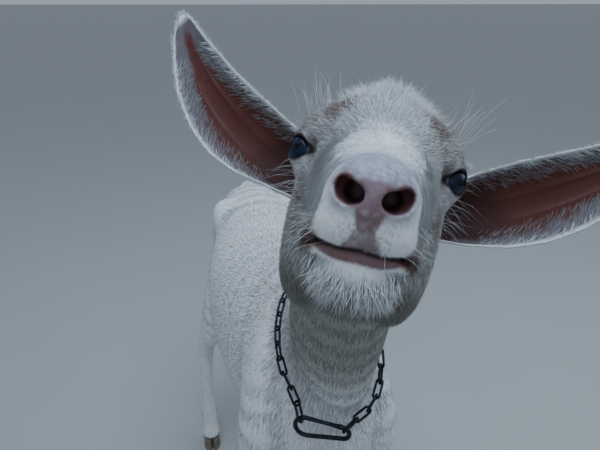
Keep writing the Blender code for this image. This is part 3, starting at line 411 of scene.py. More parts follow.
FRONT_LEG = [
    # place on the left, half width, half depth, and how far it moves with the foot
    ((0.050, 0.020, 0.610), 0.020, 0.046, 0.0),
    ((0.074, -0.030, 0.545), 0.028, 0.062, 0.0),
    ((0.084, -0.065, 0.470), 0.034, 0.054, 0.0),
    ((0.084, -0.020, 0.400), 0.033, 0.048, 0.0),
    ((0.083, 0.004, 0.345), 0.026, 0.036, 0.2),
    ((0.082, -0.004, 0.280), 0.0205, 0.026, 0.4),
    ((0.080, -0.012, 0.222), 0.0215, 0.025, 0.6),
    ((0.080, -0.012, 0.195), 0.0190, 0.021, 0.7),
    ((0.080, -0.006, 0.130), 0.0148, 0.0165, 0.9),
    ((0.080, -0.004, 0.085), 0.0180, 0.0205, 1.0),
    ((0.080, -0.016, 0.055), 0.0175, 0.0185, 1.0),
    ((0.080, -0.024, 0.032), 0.0215, 0.0240, 1.0),
    ((0.080, -0.026, 0.022), 0.0215, 0.0240, 1.0),
]
HIND_LEG = [
    ((0.056, 0.500, 0.575), 0.032, 0.066, 0.0),
    ((0.068, 0.470, 0.500), 0.041, 0.090, 0.1),
    ((0.078, 0.440, 0.420), 0.038, 0.078, 0.3),
    ((0.088, 0.455, 0.350), 0.029, 0.050, 0.5),
    ((0.088, 0.500, 0.300), 0.0205, 0.032, 0.75),
    ((0.088, 0.528, 0.262), 0.0210, 0.030, 0.9),
    ((0.088, 0.528, 0.225), 0.0180, 0.024, 0.93),
    ((0.088, 0.515, 0.150), 0.0150, 0.0180, 0.97),
    ((0.088, 0.506, 0.088), 0.0185, 0.0210, 1.0),
    ((0.088, 0.492, 0.056), 0.0175, 0.0185, 1.0),
    ((0.088, 0.482, 0.032), 0.0215, 0.0240, 1.0),
    ((0.088, 0.480, 0.022), 0.0215, 0.0240, 1.0),
]


def leg_forms():
    forms = []
    for name, foot in FEET.items():
        side = 1 if name.endswith("left") else -1
        leg, usual = (FRONT_LEG, (0.080, -0.028)) if name.startswith("front") else (HIND_LEG, (0.088, 0.478))
        x, y = foot[0] - side * usual[0], foot[1] - usual[1]
        stations = [((side * at[0] + x * share, at[1] + y * share, at[2]), wide, deep)
                    for at, wide, deep, share in leg]
        forms.append(limb(stations, blend=0.02, inner=0.006))
    return forms


def tail_and_udder_forms():
    tail = [
        ((0, 0.575, 0.622), 0.022, 0.020),
        ((0, 0.612, 0.612), 0.017, 0.015),
        ((0, 0.640, 0.585), 0.013, 0.011),
        ((0, 0.650, 0.550), 0.009, 0.008),
    ]
    forms = [limb(tail, blend=0.01, inner=0.004)]
    for side in (1, -1):
        forms.append(ellipsoid((0.022 * side, 0.400, 0.318), (0.036, 0.056, 0.050), 0.02))
        teat = [((0.026 * side, 0.372, 0.282), 0.012, 0.012), ((0.034 * side, 0.352, 0.240), 0.0075, 0.0075)]
        forms.append(limb(teat, blend=0.015, inner=0.003))
    return forms


def head_forms():
    forms = [
        head_ellipsoid((-0.035, 0, 0.014), (0.060, 0.048, 0.050), 0.02),
        head_ellipsoid((0.010, 0, 0.012), (0.048, 0.045, 0.036), 0.02),
    ]
    muzzle = [
        (on_head((-0.010, 0, -0.012)), 0.047, 0.048),
        (on_head((0.035, 0, -0.016)), 0.0425, 0.044),
        (on_head((0.075, 0, -0.030)), 0.0340, 0.037),
        (on_head((0.106, 0, -0.038)), 0.0265, 0.030),
    ]
    forms.append(limb(muzzle, side=HEAD[1], blend=0.015, inner=0.004))
    forms += both_sides((-0.004, 0.045, 0.010), (0.030, 0.017, 0.023), blend=0.014)
    forms += both_sides((-0.016, 0.036, -0.058), (0.045, 0.0230, 0.056), blend=0.03)
    jaw = [
        (on_head((-0.024, 0, -0.090)), 0.046, 0.031),
        (on_head((0.032, 0, -0.083)), 0.036, 0.026),
        (on_head((0.085, 0, -0.072)), 0.024, 0.017),
    ]
    forms.append(limb(jaw, side=HEAD[1], blend=0.02, inner=0.004))
    forms += [
        head_ellipsoid((0.116, 0, -0.030), (0.019, 0.0230, 0.019), 0.014),
        head_ellipsoid((0.098, 0, -0.074), (0.020, 0.0215, 0.0135), 0.008),
        head_ellipsoid((-0.055, 0, -0.062), (0.045, 0.040, 0.050), 0.03),
    ]
    forms += both_sides((0.106, 0.013, -0.050), (0.021, 0.0165, 0.0135), blend=0.009)
    forms += both_sides((0.080, 0.0215, -0.058), (0.027, 0.0120, 0.017), blend=0.012)
    forms += both_sides(EYE_AT, [EYE_RADIUS + LID] * 3, blend=0.008)
    forms += both_sides(*INNER_CORNER, blend=0.008, carve=True)
    forms += [lid_opening(1), lid_opening(-1)]
    for side in (1, -1):
        forms.append(limb(on_side(NOSTRIL_HOLE, side), side=HEAD[1], blend=0.002, inner=0.002, carve=True))
        forms.append(limb(on_side(NOSTRIL_WING, side), side=HEAD[0], blend=0.003, inner=0.002, carve=True))
    whole_mouth = on_side(MOUTH[:0:-1], -1) + on_side(MOUTH, 1)
    forms.append(limb(whole_mouth, side=HEAD[0], blend=0.0025, inner=0.002, carve=True))
    return forms


def on_side(stations, side):
    """Stations given on the head's left, moved to the goat's frame on the left or the right."""
    return [(on_head((x, y * side, z)), wide, deep) for (x, y, z), wide, deep in stations]


def eye_axes(side):
    """Rows: where the eye looks, along its slit towards the nose, and across the slit."""
    look = unit(EYE_LOOK * (1, side, 1))
    slit = unit(np.cross(look, (0.0, 0.0, 1.0)) * side)
    return np.array([look, slit, np.cross(look, slit)])


def lid_opening(side):
    """An oval way through the lids: inside the oval (along / a, across / b) and outside the ball's core."""
    at = on_head(EYE_AT * (1, side, 1))
    axes = eye_axes(side) @ HEAD

    def distance(points):
        local = (points - at) @ axes.T
        oval = np.sqrt((local[..., 1] / EYE_OPENING[0]) ** 2 + (local[..., 2] / EYE_OPENING[1]) ** 2)
        rim = (oval - 1) * EYE_OPENING[1]
        core = EYE_RADIUS - 0.003 - np.sqrt((local**2).sum(-1))
        return np.maximum(np.maximum(rim, core), -local[..., 0])

    return Form(at - 0.024, at + 0.024, distance, 0.0012, True)


def coat_depth(points):
    """How deep the skin lies under the coat's outline: least on the nose and lids, most on the trunk."""
    head = in_head(points)
    to_eye = np.linalg.norm(mirrored(head) - EYE_AT, axis=-1)
    on_face = ramp(points[..., 2], 0.78, 0.88)
    on_legs = ramp(points[..., 2], 0.42, 0.30)
    face = 0.0032 - 0.0024 * ramp(head[..., 0], 0.00, 0.10) + 0.0035 * ramp(head[..., 2], 0.030, 0.055)
    face = 0.0003 + (face - 0.0003) * ramp(to_eye, 0.0165, 0.028)
    return on_face * face + (1 - on_face) * (on_legs * 0.0018 + (1 - on_legs) * 0.0030)


def steps(*parts):
    """Grid lines whose step changes along the way: each part has its end and its step."""
    line = [parts[0]]
    for end, step in parts[1:]:
        count = max(round((end - line[-1]) / step), 1)
        line += list(np.linspace(line[-1], end, count + 1)[1:])
    return np.array(line)


def flesh_field():
    """The field of the skin of body and head, as one closed surface, on a grid that is finest at the face."""
    axes = [
        steps(-0.200, (-0.120, 0.0050), (-0.100, 0.0028), (0.056, 0.0016), (0.090, 0.0028), (0.160, 0.0050)),
        steps(-0.430, (-0.220, 0.0016), (-0.130, 0.0026), (0.050, 0.0050), (0.340, 0.0090), (0.560, 0.0060),
              (0.690, 0.0042)),
        steps(0.010, (0.440, 0.0064), (0.740, 0.0080), (0.830, 0.0030), (0.980, 0.0016), (1.040, 0.0022)),
    ]
    values = np.full([len(line) for line in axes], FAR)
    for form in trunk_forms() + leg_forms() + tail_and_udder_forms() + head_forms():
        add_form(values, axes, form)
    for k in range(0, len(axes[0]), 16):
        part = [axes[0][k:k + 16], axes[1], axes[2]]
        values[k:k + 16] += coat_depth(np.stack(np.meshgrid(*part, indexing="ij"), -1))
    values = np.maximum(values, COAT_OVER_HOOF - axes[2])
    for axis in range(3):
        for end in (0, -1):
            edge = [slice(None)] * 3
            edge[axis] = end
            values[tuple(edge)] = FAR
    return axes, values


def ear_sheet(name, rows, columns):
    """The ear's middle surface on a grid and its normals.

    Along the ear a station has a half width and a half angle of its arc: the root is nearly a
    tube, the middle an open cup and the tip almost flat.
    """
    side = 1 if name == "left" else -1
    base, tip = on_head(EAR_BASE[name]), on_head(EAR_TIP[name])
    along = unit(tip - base)
    faces = np.asarray(EAR_FACES[name]) @ HEAD
    faces = unit(faces - (faces @ along) * along)
    up = np.cross(along, faces) * -side
    share = np.linspace(EAR_ROOT, 1.0, rows)
    width = np.interp(
        share,
        (EAR_ROOT, -0.05, 0.0, 0.14, 0.30, 0.47, 0.68, 0.82, 0.92, 0.97, 1.0),
        (0.0130, 0.0230, 0.0275, 0.0330, 0.0350, 0.0325, 0.0260, 0.0185, 0.0125, 0.0075, 0.0025),
    )
    bend = np.radians(np.interp(share, (EAR_ROOT, 0.0, 0.2, 0.5, 0.8, 1.0), (125, 88, 66, 50, 38, 20)))
    droop = -EAR_DROOP[name] * np.clip(1 - (2 * share - 1) ** 2, 0, 1)
    middle = base + along * (share * np.linalg.norm(tip - base))[:, None] + up * droop[:, None]
    across = np.linspace(-1, 1, columns)
    angle = bend[:, None] * across
    radius = (width / np.sin(np.minimum(bend, np.pi / 2)))[:, None]
    sideways, inward = radius * np.sin(angle), radius * (np.cos(bend)[:, None] - np.cos(angle))
    sheet = middle[:, None] + up * sideways[..., None] + faces * inward[..., None]
    normal = unit(np.cross(np.gradient(sheet, axis=0), np.gradient(sheet, axis=1)))
    if (normal[rows // 2, columns // 2] @ faces) < 0:
        normal = -normal
    return sheet, normal


def ear_grid(name):
    """The ear's sheet as a fine grid, with its normals and its runs towards the tip and across."""
    sheet, normal = ear_sheet(name, EAR_ROWS, EAR_COLUMNS)
    return sheet, normal, unit(np.gradient(sheet, axis=0)), unit(np.gradient(sheet, axis=1))


def ear_at(name, share, across):
    """Place, normal and runs on the ear's sheet: share 0 at the root to 1 at the tip, across -1 to 1."""
    row = np.clip((share - EAR_ROOT) / (1 - EAR_ROOT), 0, 1) * (EAR_ROWS - 1)
    column = (np.clip(across, -1, 1) + 1) / 2 * (EAR_COLUMNS - 1)
    r, c = np.minimum(row.astype(int), EAR_ROWS - 2), np.minimum(column.astype(int), EAR_COLUMNS - 2)
    u, v = (row - r)[:, None], (column - c)[:, None]
    return [(1 - u) * ((1 - v) * g[r, c] + v * g[r, c + 1])
            + u * ((1 - v) * g[r + 1, c] + v * g[r + 1, c + 1]) for g in ear_grid(name)]


def ear_shell(name):
    """The ear as a closed shell: the sheet moved half its thickness each way, with two ridges in the cup."""
    sheet, normal, _, _ = ear_grid(name)
    share = np.linspace(EAR_ROOT, 1, EAR_ROWS)[:, None]
    across = np.linspace(-1, 1, EAR_COLUMNS)[None]
    ridges = sum(np.exp(-((across - at - 0.10 * share) / 0.07) ** 2) for at in EAR_RIDGES)
    raised = 0.0011 * ridges * ramp(share, 0.05, 0.25) * ramp(share, 0.85, 0.55)
    thick = EAR_THICKNESS / 2 * (1 - 0.5 * np.abs(across) ** 4)
    front = sheet + normal * (thick + raised)[..., None]
    back = sheet - normal * thick[..., None]
    number = np.arange(EAR_ROWS * EAR_COLUMNS).reshape(EAR_ROWS, EAR_COLUMNS)
    quads = np.stack([number[:-1, :-1], number[1:, :-1], number[1:, 1:], number[:-1, 1:]], -1).reshape(-1, 4)
    rim = np.concatenate([number[0], number[1:, -1], number[-1, -2::-1], number[-2:0:-1, 0]])
    after = np.roll(rim, -1)
    shift = number.size
    wall = np.stack([rim, after, after + shift, rim + shift], -1)
    points = np.concatenate([front.reshape(-1, 3), back.reshape(-1, 3)])
    faces = np.concatenate([quads, quads[:, ::-1] + shift, wall])
    middle = number[EAR_ROWS // 2, EAR_COLUMNS // 2]
    corner = points[quads[len(quads) // 2]]
    outward = np.cross(corner[1] - corner[0], corner[3] - corner[0]) @ normal.reshape(-1, 3)[middle]
    return points, faces if outward > 0 else faces[:, ::-1]


# Colour, the same for the skin and for the hair that grows there
def ripple(points, wavelength, seed):
    """Smooth unevenness from about -1 to 1: sines of nine random waves of about that length."""
    rng = np.random.default_rng(seed)
    waves = unit(rng.normal(size=(9, 3))) * 2 * np.pi / wavelength * rng.uniform(0.6, 1.6, (9, 1))
    return np.clip(np.sin(points @ waves.T + rng.uniform(0, 2 * np.pi, 9)).sum(-1) / 4, -1, 1)


def mixed(colour, other, share):
    return colour + (np.asarray(other) - colour) * np.clip(share, 0, 1)[..., None]


def to_line(points, line):
    """The distance to the nearest of the straight runs between a line's points."""
    nearest = np.full(points.shape[:-1], 1.0)
    for a, b in zip(line, line[1:]):
        along = b - a
        share = np.clip((points - a) @ along / (along @ along), 0, 1)
        nearest = np.minimum(nearest, np.linalg.norm(points - a - share[..., None] * along, axis=-1))
    return nearest


def around_eye(head):
    """1 at the edge of the eye's opening and more outside it, and how far ahead of the eye's middle."""
    local = (mirrored(head) - EYE_AT) @ eye_axes(1).T
    return np.hypot(local[..., 1] / EYE_OPENING[0], local[..., 2] / EYE_OPENING[1]), local[..., 0]


def nose_and_mouth(head):
    """Shares of the nostrils' parts, the pad, the philtrum, the lower lip, the mouth's slit and corners."""
    left = mirrored(head)
    x, y, z = left[..., 0], left[..., 1], left[..., 2]
    hole = to_line(left, np.array([at for at, _, _ in NOSTRIL_HOLE]))
    flat = np.array((0.0, 1.0, 1.0))
    wing = to_line(left * flat, np.array([at for at, _, _ in NOSTRIL_WING]) * flat)
    ahead = ramp(x, 0.104, 0.112)
    inside = ramp(hole, 0.0074, 0.0062) * (x > 0.09)
    middle = ramp(y, 0.0095, 0.0070) * ramp(z, -0.0205, -0.0240) * ramp(z, -0.041, -0.038)
    pad = np.maximum(ahead * np.maximum(ramp(np.minimum(hole, wing), 0.0068, 0.0056), middle), inside)
    width = np.interp(z, (-0.060, -0.056, -0.048, -0.040), (0.0115, 0.0090, 0.0050, 0.0078))
    philtrum = ahead * ramp(y, width + 0.001, width - 0.001)
    philtrum = philtrum * ramp(z, -0.0605, -0.0590) * ramp(z, -0.034, -0.037)
    below = np.interp(y, [at[1] for at, _, _ in MOUTH], [at[2] for at, _, _ in MOUTH]) - z
    tall = LIP_HEIGHT * np.sqrt(np.clip(1 - (y / LIP_WIDTH) ** 2, 0, 1))
    front = ramp(x, 0.080, 0.086)
    lower_lip = front * ramp(below, tall + 0.0010, tall - 0.0006) * ramp(below, -0.0004, 0.0006)
    slit = front * ramp(np.abs(below), 0.0013, 0.0007) * ramp(y, 0.0345, 0.0320)
    corner = ramp(np.hypot(y - 0.0300, z + 0.0605), 0.0080, 0.0040) * ramp(x, 0.070, 0.082)
    rim = ahead * ramp(np.minimum(hole, wing), 0.0110, 0.0074)
    # Depth and hole carry the painted shade that darkens the nostrils towards and into their holes
    depth = ramp(hole, 0.0080, 0.0048)
    deep_hole = ramp(hole, 0.0052, 0.0042) * (x > 0.09)
    flesh_share = ahead * ramp(wing, 0.0058, 0.0046)
    return {"rim": rim, "depth": depth, "hole": deep_hole, "wing": flesh_share, "pad": pad,
            "philtrum": philtrum, "lip": lower_lip, "slit": slit, "corner": corner}


def on_udder(points):
    share = ramp(points[..., 2], 0.345, 0.325) * ramp(points[..., 2], 0.21, 0.22)
    share = share * ramp(np.abs(points[..., 1] - 0.392), 0.068, 0.060)
    return share * ramp(np.abs(points[..., 0]), 0.062, 0.054)


def naked(points):
    """1 on the bare skin of nose pad, lips, nostrils, lid rims and udder, 0 where hair grows."""
    head = in_head(points)
    face = nose_and_mouth(head)
    opening, ahead = around_eye(head)
    lids = ramp(opening, 1.50, 1.30) * ramp(ahead, 0.000, 0.004)
    thin = face["philtrum"] * ramp(head[..., 2], -0.058, -0.046)
    bare = np.maximum.reduce([face["pad"], face["lip"], face["slit"], thin, lids])
    return np.maximum(bare * ramp(points[..., 2], 0.80, 0.82), on_udder(points))


def blob(points, centre, radii):
    """A soft round patch: exp of minus the squared distance in radii."""
    return np.exp(-(((points - np.asarray(centre)) / radii) ** 2).sum(-1))


def markings(points, look):
    """The goat's colour at points of its outline, from named patches with soft, uneven edges, and painted
    shade on throat, jaw, nostrils and mouth line.
    """
    head = in_head(points)
    left = mirrored(head)
    x, y, z = left[..., 0], left[..., 1], left[..., 2]
    uneven = ripple(points, 0.016, 3)
    fine = ripple(points, 0.005, 5)
    colour = np.broadcast_to(np.asarray(look.white), points.shape).copy()
    face_share = ramp(points[..., 2], 0.80, 0.86)
    # Trunk and neck
    body_roan = sum(share * blob(points, at, radii) for share, at, radii in BODY_ROAN)
    colour = mixed(colour, look.roan, body_roan * (0.7 + 0.5 * uneven))
    colour = mixed(colour, look.cream, 0.30 * ramp(points[..., 2], 0.30, 0.05) + 0.10 * uneven)
    # Painted shade: under the jaw and round the upper neck the coat is laid darker, as if in the head's
    # shadow
    painted_throat_shade = ramp(z, -0.070, -0.094) * ramp(points[..., 2], 0.58, 0.70) * ramp(points[..., 1], -0.06, -0.12)
    colour = mixed(colour, look.shade, 0.85 * painted_throat_shade)
    # Cheeks, brows, streaks below the eyes and the patches over the horn buds
    strand = ripple(points * (1, 1, 0.35), 0.0045, 17)
    cheek = ramp(y, 0.024, 0.037) * ramp(x, 0.092, 0.055) * ramp(z, -0.105, -0.060)
    brow = ramp(y, 0.020, 0.035) * ramp(z, -0.01, 0.006) * ramp(z, 0.056, 0.036)
    patchy = 0.85 + 0.45 * uneven + 0.50 * strand
    colour = mixed(colour, look.roan, face_share * (0.28 * cheek + 0.14 * brow) * patchy)
    # Painted shade: cream on the lower cheeks, darker towards the jaw as if shaded from above
    colour = mixed(colour, look.cream, face_share * 0.25 * ramp(y, 0.028, 0.040) * ramp(z, -0.04, -0.07))
    streak = blob(left, *STREAK)
    colour = mixed(colour, look.russet, face_share * streak * (0.55 + 0.5 * strand))
    bud = blob(left, *BUD)
    colour = mixed(colour, look.russet, face_share * bud * (0.85 + 0.5 * fine))
    opening, ahead = around_eye(head)
    surround = ramp(opening, 2.1, 1.25) * ramp(ahead, -0.006, 0.004)
    colour = mixed(colour, look.grey, face_share * surround * 0.58)
    tear = blob(left, *TEAR)
    colour = mixed(colour, look.grey, face_share * tear * 0.85)
    # Bare skin and what shows of it through the muzzle's short hair
    face = nose_and_mouth(head)
    muzzle = ramp(x, 0.098, 0.117) * ramp(y, 0.026, 0.016) * ramp(z, -0.046, -0.036)
    speckle = ramp(ripple(points, 0.0022, 11), 0.20, 0.60)
    pores = ramp(x, 0.098, 0.110) * ramp(y, 0.021, 0.011) * ramp(z, -0.040, -0.046) * ramp(z, -0.062, -0.059)
    colour = mixed(colour, look.lilac, face_share * muzzle * (0.85 + 0.15 * fine))
    colour = mixed(colour, look.grey, face_share * speckle * (0.34 * muzzle + 0.50 * pores))
    mauve = face["philtrum"] * (0.62 + 0.35 * ramp(z, -0.052, -0.042) + 0.25 * fine)
    colour = mixed(colour, look.grey, face_share * 0.42 * face["rim"] * (1 + 0.3 * fine))
    colour = mixed(colour, look.pink, face_share * np.maximum(face["pad"], mauve) * (0.92 + 0.15 * uneven))
    colour = mixed(colour, look.grey, face_share * 0.45 * face["philtrum"] * ramp(z, -0.038, -0.046))
    colour = mixed(colour, look.nostril, face_share * face["wing"])
    # Painted shade: the nostril's flesh darkens towards the hole
    colour = mixed(colour, look.dark, face_share * 0.75 * face["wing"] * face["depth"])
    colour = mixed(colour, look.lip, face_share * face["lip"])
    colour = mixed(colour, look.russet, face_share * 0.85 * face["corner"])
    # Painted shade: the nostril holes and the mouth's slit are laid dark, as shadowed recesses
    colour = mixed(colour, look.dark, face_share * np.maximum(face["hole"], 0.92 * face["slit"]))
    lid_rim = ramp(opening, 1.34, 1.16) * ramp(ahead, 0.000, 0.004)
    colour = mixed(colour, look.dark, face_share * 0.95 * lid_rim)
    return mixed(colour, look.pink, 0.8 * on_udder(points))


def ear_colour(share, across, front, look):
    """White at the rim, grey-brown hair inside it, and a dark red, bare middle that narrows to the tip, with
    painted shade towards the root.
    """
    colour = np.broadcast_to(np.asarray(look.white), (*np.shape(share), 3)).copy()
    colour = mixed(colour, look.roan, np.where(front, 0.0, 0.22) * ramp(share, 1.0, 0.2))
    width = 0.72 - 0.50 * ramp(share, 0.30, 0.90)
    wave = 0.035 * np.sin(share * 31) + 0.030 * np.sin(share * 57 + 1)
    bare = ramp(np.abs(across - 0.05), width + 0.13 + wave, width - 0.10 + wave) * ramp(share, 0.97, 0.86)
    border = ramp(np.abs(across), 0.975, 0.88) * ramp(share, 0.995, 0.95)
    colour = mixed(colour, look.ear_border, np.where(front, 0.96 * border, 0.0))
    ridge = sum(np.exp(-((across - at - 0.10 * share) / 0.022) ** 2) for at in EAR_RIDGES)
    inner = np.broadcast_to(np.asarray(look.ear_inner), colour.shape)
    inner = mixed(inner, look.roan, 0.12 * ridge * ramp(share, 0.1, 0.3))
    # Painted shade: the bare skin darkens towards the root, where the cup rolls into a tube
    inner = mixed(inner, look.dark, 0.70 * ramp(share, 0.30, 0.0))
    return mixed(colour, inner, np.where(front, bare, 0.0)), np.where(front, bare, 0.0)


# The lie of the hair
def lie(points, normals):
    """The hair's run: out from the whorl above the nose, down neck and legs, and back on the trunk."""
    head = in_head(points)
    x, y, z = head[..., 0], head[..., 1], head[..., 2]
    side = np.abs(y)
    out = unit(head - WHORL)
    out = out + ramp(z, -0.045, -0.085)[..., None] * np.array([0.35, 0.0, -0.7])
    lips = ramp(x, 0.092, 0.106) * ramp(z, -0.036, -0.046)
    from_middle = np.stack([0.2 + 0 * y, np.sign(y) * 0.45 * ramp(side, 0.0, 0.02), -1.0 + 0 * y], -1)
    out = out + lips[..., None] * (from_middle - out)
    on_face = unit(out) @ HEAD
    down = np.array([0.0, 0.22, -1.0])
    steep = ramp(np.abs(normals[..., 0]), 0.25, 0.95)
    trunk = unit(np.stack([0 * steep, 1.0 + 0 * steep, -0.15 - 0.75 * steep], -1))
    rump = ramp(points[..., 1], 0.50, 0.60)
    trunk = trunk + (np.array([0.0, 0.15, -1.0]) - trunk) * rump[..., None]
    low = np.maximum(ramp(points[..., 2], 0.46, 0.34), ramp(points[..., 1], -0.02, -0.08))
    body = trunk + (down - trunk) * low[..., None]
    share = ramp(points[..., 2], 0.80, 0.86) * ramp(head[..., 0], -0.10, -0.06)
    run = body + (on_face - body) * share[..., None]
    wander = np.stack([ripple(points, 0.055, seed) for seed in (21, 22, 23)], -1)
    clump = np.stack([ripple(points, 0.014, seed) for seed in (24, 25, 26)], -1)
    run = unit(run) + 0.10 * wander + (0.01 + 0.23 * share)[..., None] * clump
    return unit(run - (run * normals).sum(-1, keepdims=True) * normals)


# Meshes
def mesh_of(name, points, faces):
    """A mesh from arrays: points in the goat's frame, and arrays of faces with three or four corners each."""
    faces = [np.asarray(part) for part in (faces if isinstance(faces, list) else [faces])]
    corners = np.concatenate([part.ravel() for part in faces]).astype(np.int32)
    sizes = np.concatenate([np.full(len(part), part.shape[1]) for part in faces])
    mesh = bpy.data.meshes.new(name)
    mesh.vertices.add(len(points))
    mesh.vertices.foreach_set("co", (np.asarray(points) - ORIGIN).astype(np.float32).ravel())
    mesh.loops.add(len(corners))
    mesh.loops.foreach_set("vertex_index", corners)
    mesh.polygons.add(len(sizes))
    mesh.polygons.foreach_set("loop_start", (np.cumsum(sizes) - sizes).astype(np.int32))
    mesh.update(calc_edges=True)
    mesh.validate()
    return mesh, corners


def new_piece(name, points, faces, material, colour=None, uv=None):
    """An object of that mesh, with its colour at each point and its place on the unwrap at each corner."""
    mesh, corners = mesh_of(name, points, faces)
    if colour is not None:
        rgba = np.ones((len(points), 4), np.float32)
        rgba[:, :3] = colour
        mesh.attributes.new("Markings", "FLOAT_COLOR", "POINT").data.foreach_set("color", rgba.ravel())
    if uv is not None:
        unwrap = mesh.uv_layers.new(name="OFBake").data
        unwrap.foreach_set("uv", np.asarray(uv)[corners].astype(np.float32).ravel())
    mesh.polygons.foreach_set("use_smooth", np.ones(len(mesh.polygons), bool))
    mesh.materials.append(material)
    piece = bpy.data.objects.new(name, mesh)
    bpy.context.scene.collection.objects.link(piece)
    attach(piece, "root")
    return piece


def thinned(points, quads, share):
    """The skin with that share of its triangles: those of trunk and legs are joined, the head's stay."""
    mesh, _ = mesh_of("thinned", points, quads)
    body = bpy.data.objects.new("thinned", mesh)
    bpy.context.scene.collection.objects.link(body)
    group = body.vertex_groups.new(name="body")
    group.add([int(n) for n in np.flatnonzero(head_share(points) == 0)], 1.0, "REPLACE")
    fewer = body.modifiers.new("fewer", "DECIMATE")
    fewer.ratio = share
    fewer.vertex_group = group.name
    fewer.use_collapse_triangulate = True
    made = body.evaluated_get(bpy.context.evaluated_depsgraph_get()).to_mesh()
    places = np.empty(len(made.vertices) * 3)
    made.vertices.foreach_get("co", places)
    corners = np.empty(len(made.loops), np.int64)
    made.loops.foreach_get("vertex_index", corners)
    if len(corners) != 3 * len(made.polygons):
        raise RuntimeError("the thinned skin holds faces with more than three corners")
    bpy.data.objects.remove(body)
    bpy.data.meshes.remove(mesh)
    return places.reshape(-1, 3) + ORIGIN, corners.reshape(-1, 3)


def triangles_of(quads):
    return np.concatenate([quads[:, [0, 1, 2]], quads[:, [0, 2, 3]]])


def vertex_normals(points, triangles):
    a, b, c = (points[triangles[:, n]] for n in range(3))
    face = np.cross(b - a, c - a)
    total = np.stack([sum(np.bincount(triangles[:, n], face[:, k], len(points)) for n in range(3))
                      for k in range(3)], -1)
    return unit(total + 1e-12)


_surfaces = {}


def flesh():
    """The skin's points, triangles and normals, worked out once and kept with their field."""
    if "flesh" not in _surfaces:
        axes, values = flesh_field()
        points, quads = surface_of(axes, values)
        points, triangles = thinned(smoothed(points, quads, 3), quads, SKIN_SHARE)
        _surfaces["field"] = axes, values
        _surfaces["flesh"] = points, triangles, vertex_normals(points, triangles)
    return _surfaces["flesh"]


def height_above(points):
    """How far points lie above the skin: the field's value, weighted between its cell's eight corners."""
    axes, values = _surfaces["field"]
    cell, share = [], []
    for n, line in enumerate(axes):
        index = np.clip(np.searchsorted(line, points[..., n]) - 1, 0, len(line) - 2)
        cell.append(index)
        share.append(np.clip((points[..., n] - line[index]) / (line[index + 1] - line[index]), 0, 1))
    height = np.zeros(points.shape[:-1])
    for corner in CORNERS:
        weight = 1.0
        for part, upper in zip(share, corner):
            weight = weight * (part if upper else 1 - part)
        height += weight * values[tuple(index + upper for index, upper in zip(cell, corner))]
    return np.clip(height, -HUG_REACH, HUG_REACH)


def roots(count, density, seed):
    """Places, normals and a random share for tufts, spread over the skin as density says.

    Each triangle takes its area times its density of the whole, and the draws are spaced evenly
    along that sum, so neither bald spots nor heaps arise.
    """
    points, triangles, normals = flesh()
    rng = np.random.default_rng(seed)
    a, b, c = (points[triangles[:, n]] for n in range(3))
    centre = (a + b + c) / 3
    weight = np.linalg.norm(np.cross(b - a, c - a), axis=1) * density(centre) * (1 - naked(centre)) ** 2
    total = np.cumsum(weight)
    drawn = (np.arange(count) + rng.random(count)) / count * total[-1]
    picked = np.minimum(np.searchsorted(total, drawn), len(weight) - 1)
    u, v = rng.random((2, count))
    flip = u + v > 1
    u[flip], v[flip] = 1 - u[flip], 1 - v[flip]
    share = np.stack([1 - u - v, u, v], -1)[..., None]
    corners = triangles[picked]
    return (points[corners] * share).sum(1), unit((normals[corners] * share).sum(1)), rng


SPIKE = np.array([[0, 2, 1], [0, 1, 3], [1, 2, 3], [2, 0, 3]])
BENT = np.array([[0, 2, 1], [0, 1, 4], [0, 4, 3], [1, 2, 5], [1, 5, 4], [2, 0, 3], [2, 3, 5],
                 [3, 4, 6], [4, 5, 6], [5, 3, 6]])
BENT_POINTS = 7


def tufts(root, normal, run, length, width, lift, fall, bent=True, side_bend=0.0, hug=True, deep=0.30):
    """Flat closed spikes of hair, each from a base of three points, past a bend if bent, to a tip.

    A point at share s of the length lies at root + run * s + across * side_bend * s * s, all times
    the length, and length * (lift * s - fall * s * s) above the root's plane or, where the tuft
    hugs the body, above the skin below it. The base is sunk a little into the skin.
    """
    across = unit(np.cross(normal, run))
    length, width, lift, fall, side_bend = (np.broadcast_to(part, len(root))
                                            for part in (length, width, lift, fall, side_bend))

    def at(share):
        rise = length * (lift * share - fall * share**2)
        place = root + run * (length * share)[:, None] + across * (side_bend * length * share**2)[:, None]
        if not hug or share == 0:
            return place + normal * rise[:, None]
        for _ in range(2):
            place = place + normal * (rise - height_above(place))[:, None]
        return place

    rings = []
    for share, size in (((0.0, 1.0), (BEND_AT, WIDTH_AT_BEND)) if bent else ((0.0, 1.0),)):
        middle = at(share) - (normal * ROOT_SUNK if share == 0 else 0)
        half = across * (width * size / 2)[:, None]
        rings += [middle - half, middle + half, middle + normal * (width * size * deep)[:, None]]
    points = np.stack(rings + [at(1.0)], 1)
    faces = (BENT if bent else SPIKE)[None] + (np.arange(len(root)) * points.shape[1])[:, None, None]
    return points, faces.reshape(-1, 3)


def shaded(colour, rng, count_points, spread=0.10, painted_root_shade=0.28):
    """A tint for each tuft and painted shade at its root: the colour times (1 + spread * draw) times a rise
    along it.
    """
    tint = 1 + spread * (rng.random((len(colour), 1)) - 0.55) * 2
    bent = count_points == BENT_POINTS
    along = np.repeat((0.0, 0.6, 1.0), (3, 3, 1)) if bent else np.repeat((0.0, 1.0), (3, 1))
    # Painted shade: each tuft darker towards its root, as if in the coat's shadow
    rise = 1 - painted_root_shade * (1 - along)
    return np.clip(colour * tint, 0, 1)[:, None] * rise[None, :, None]


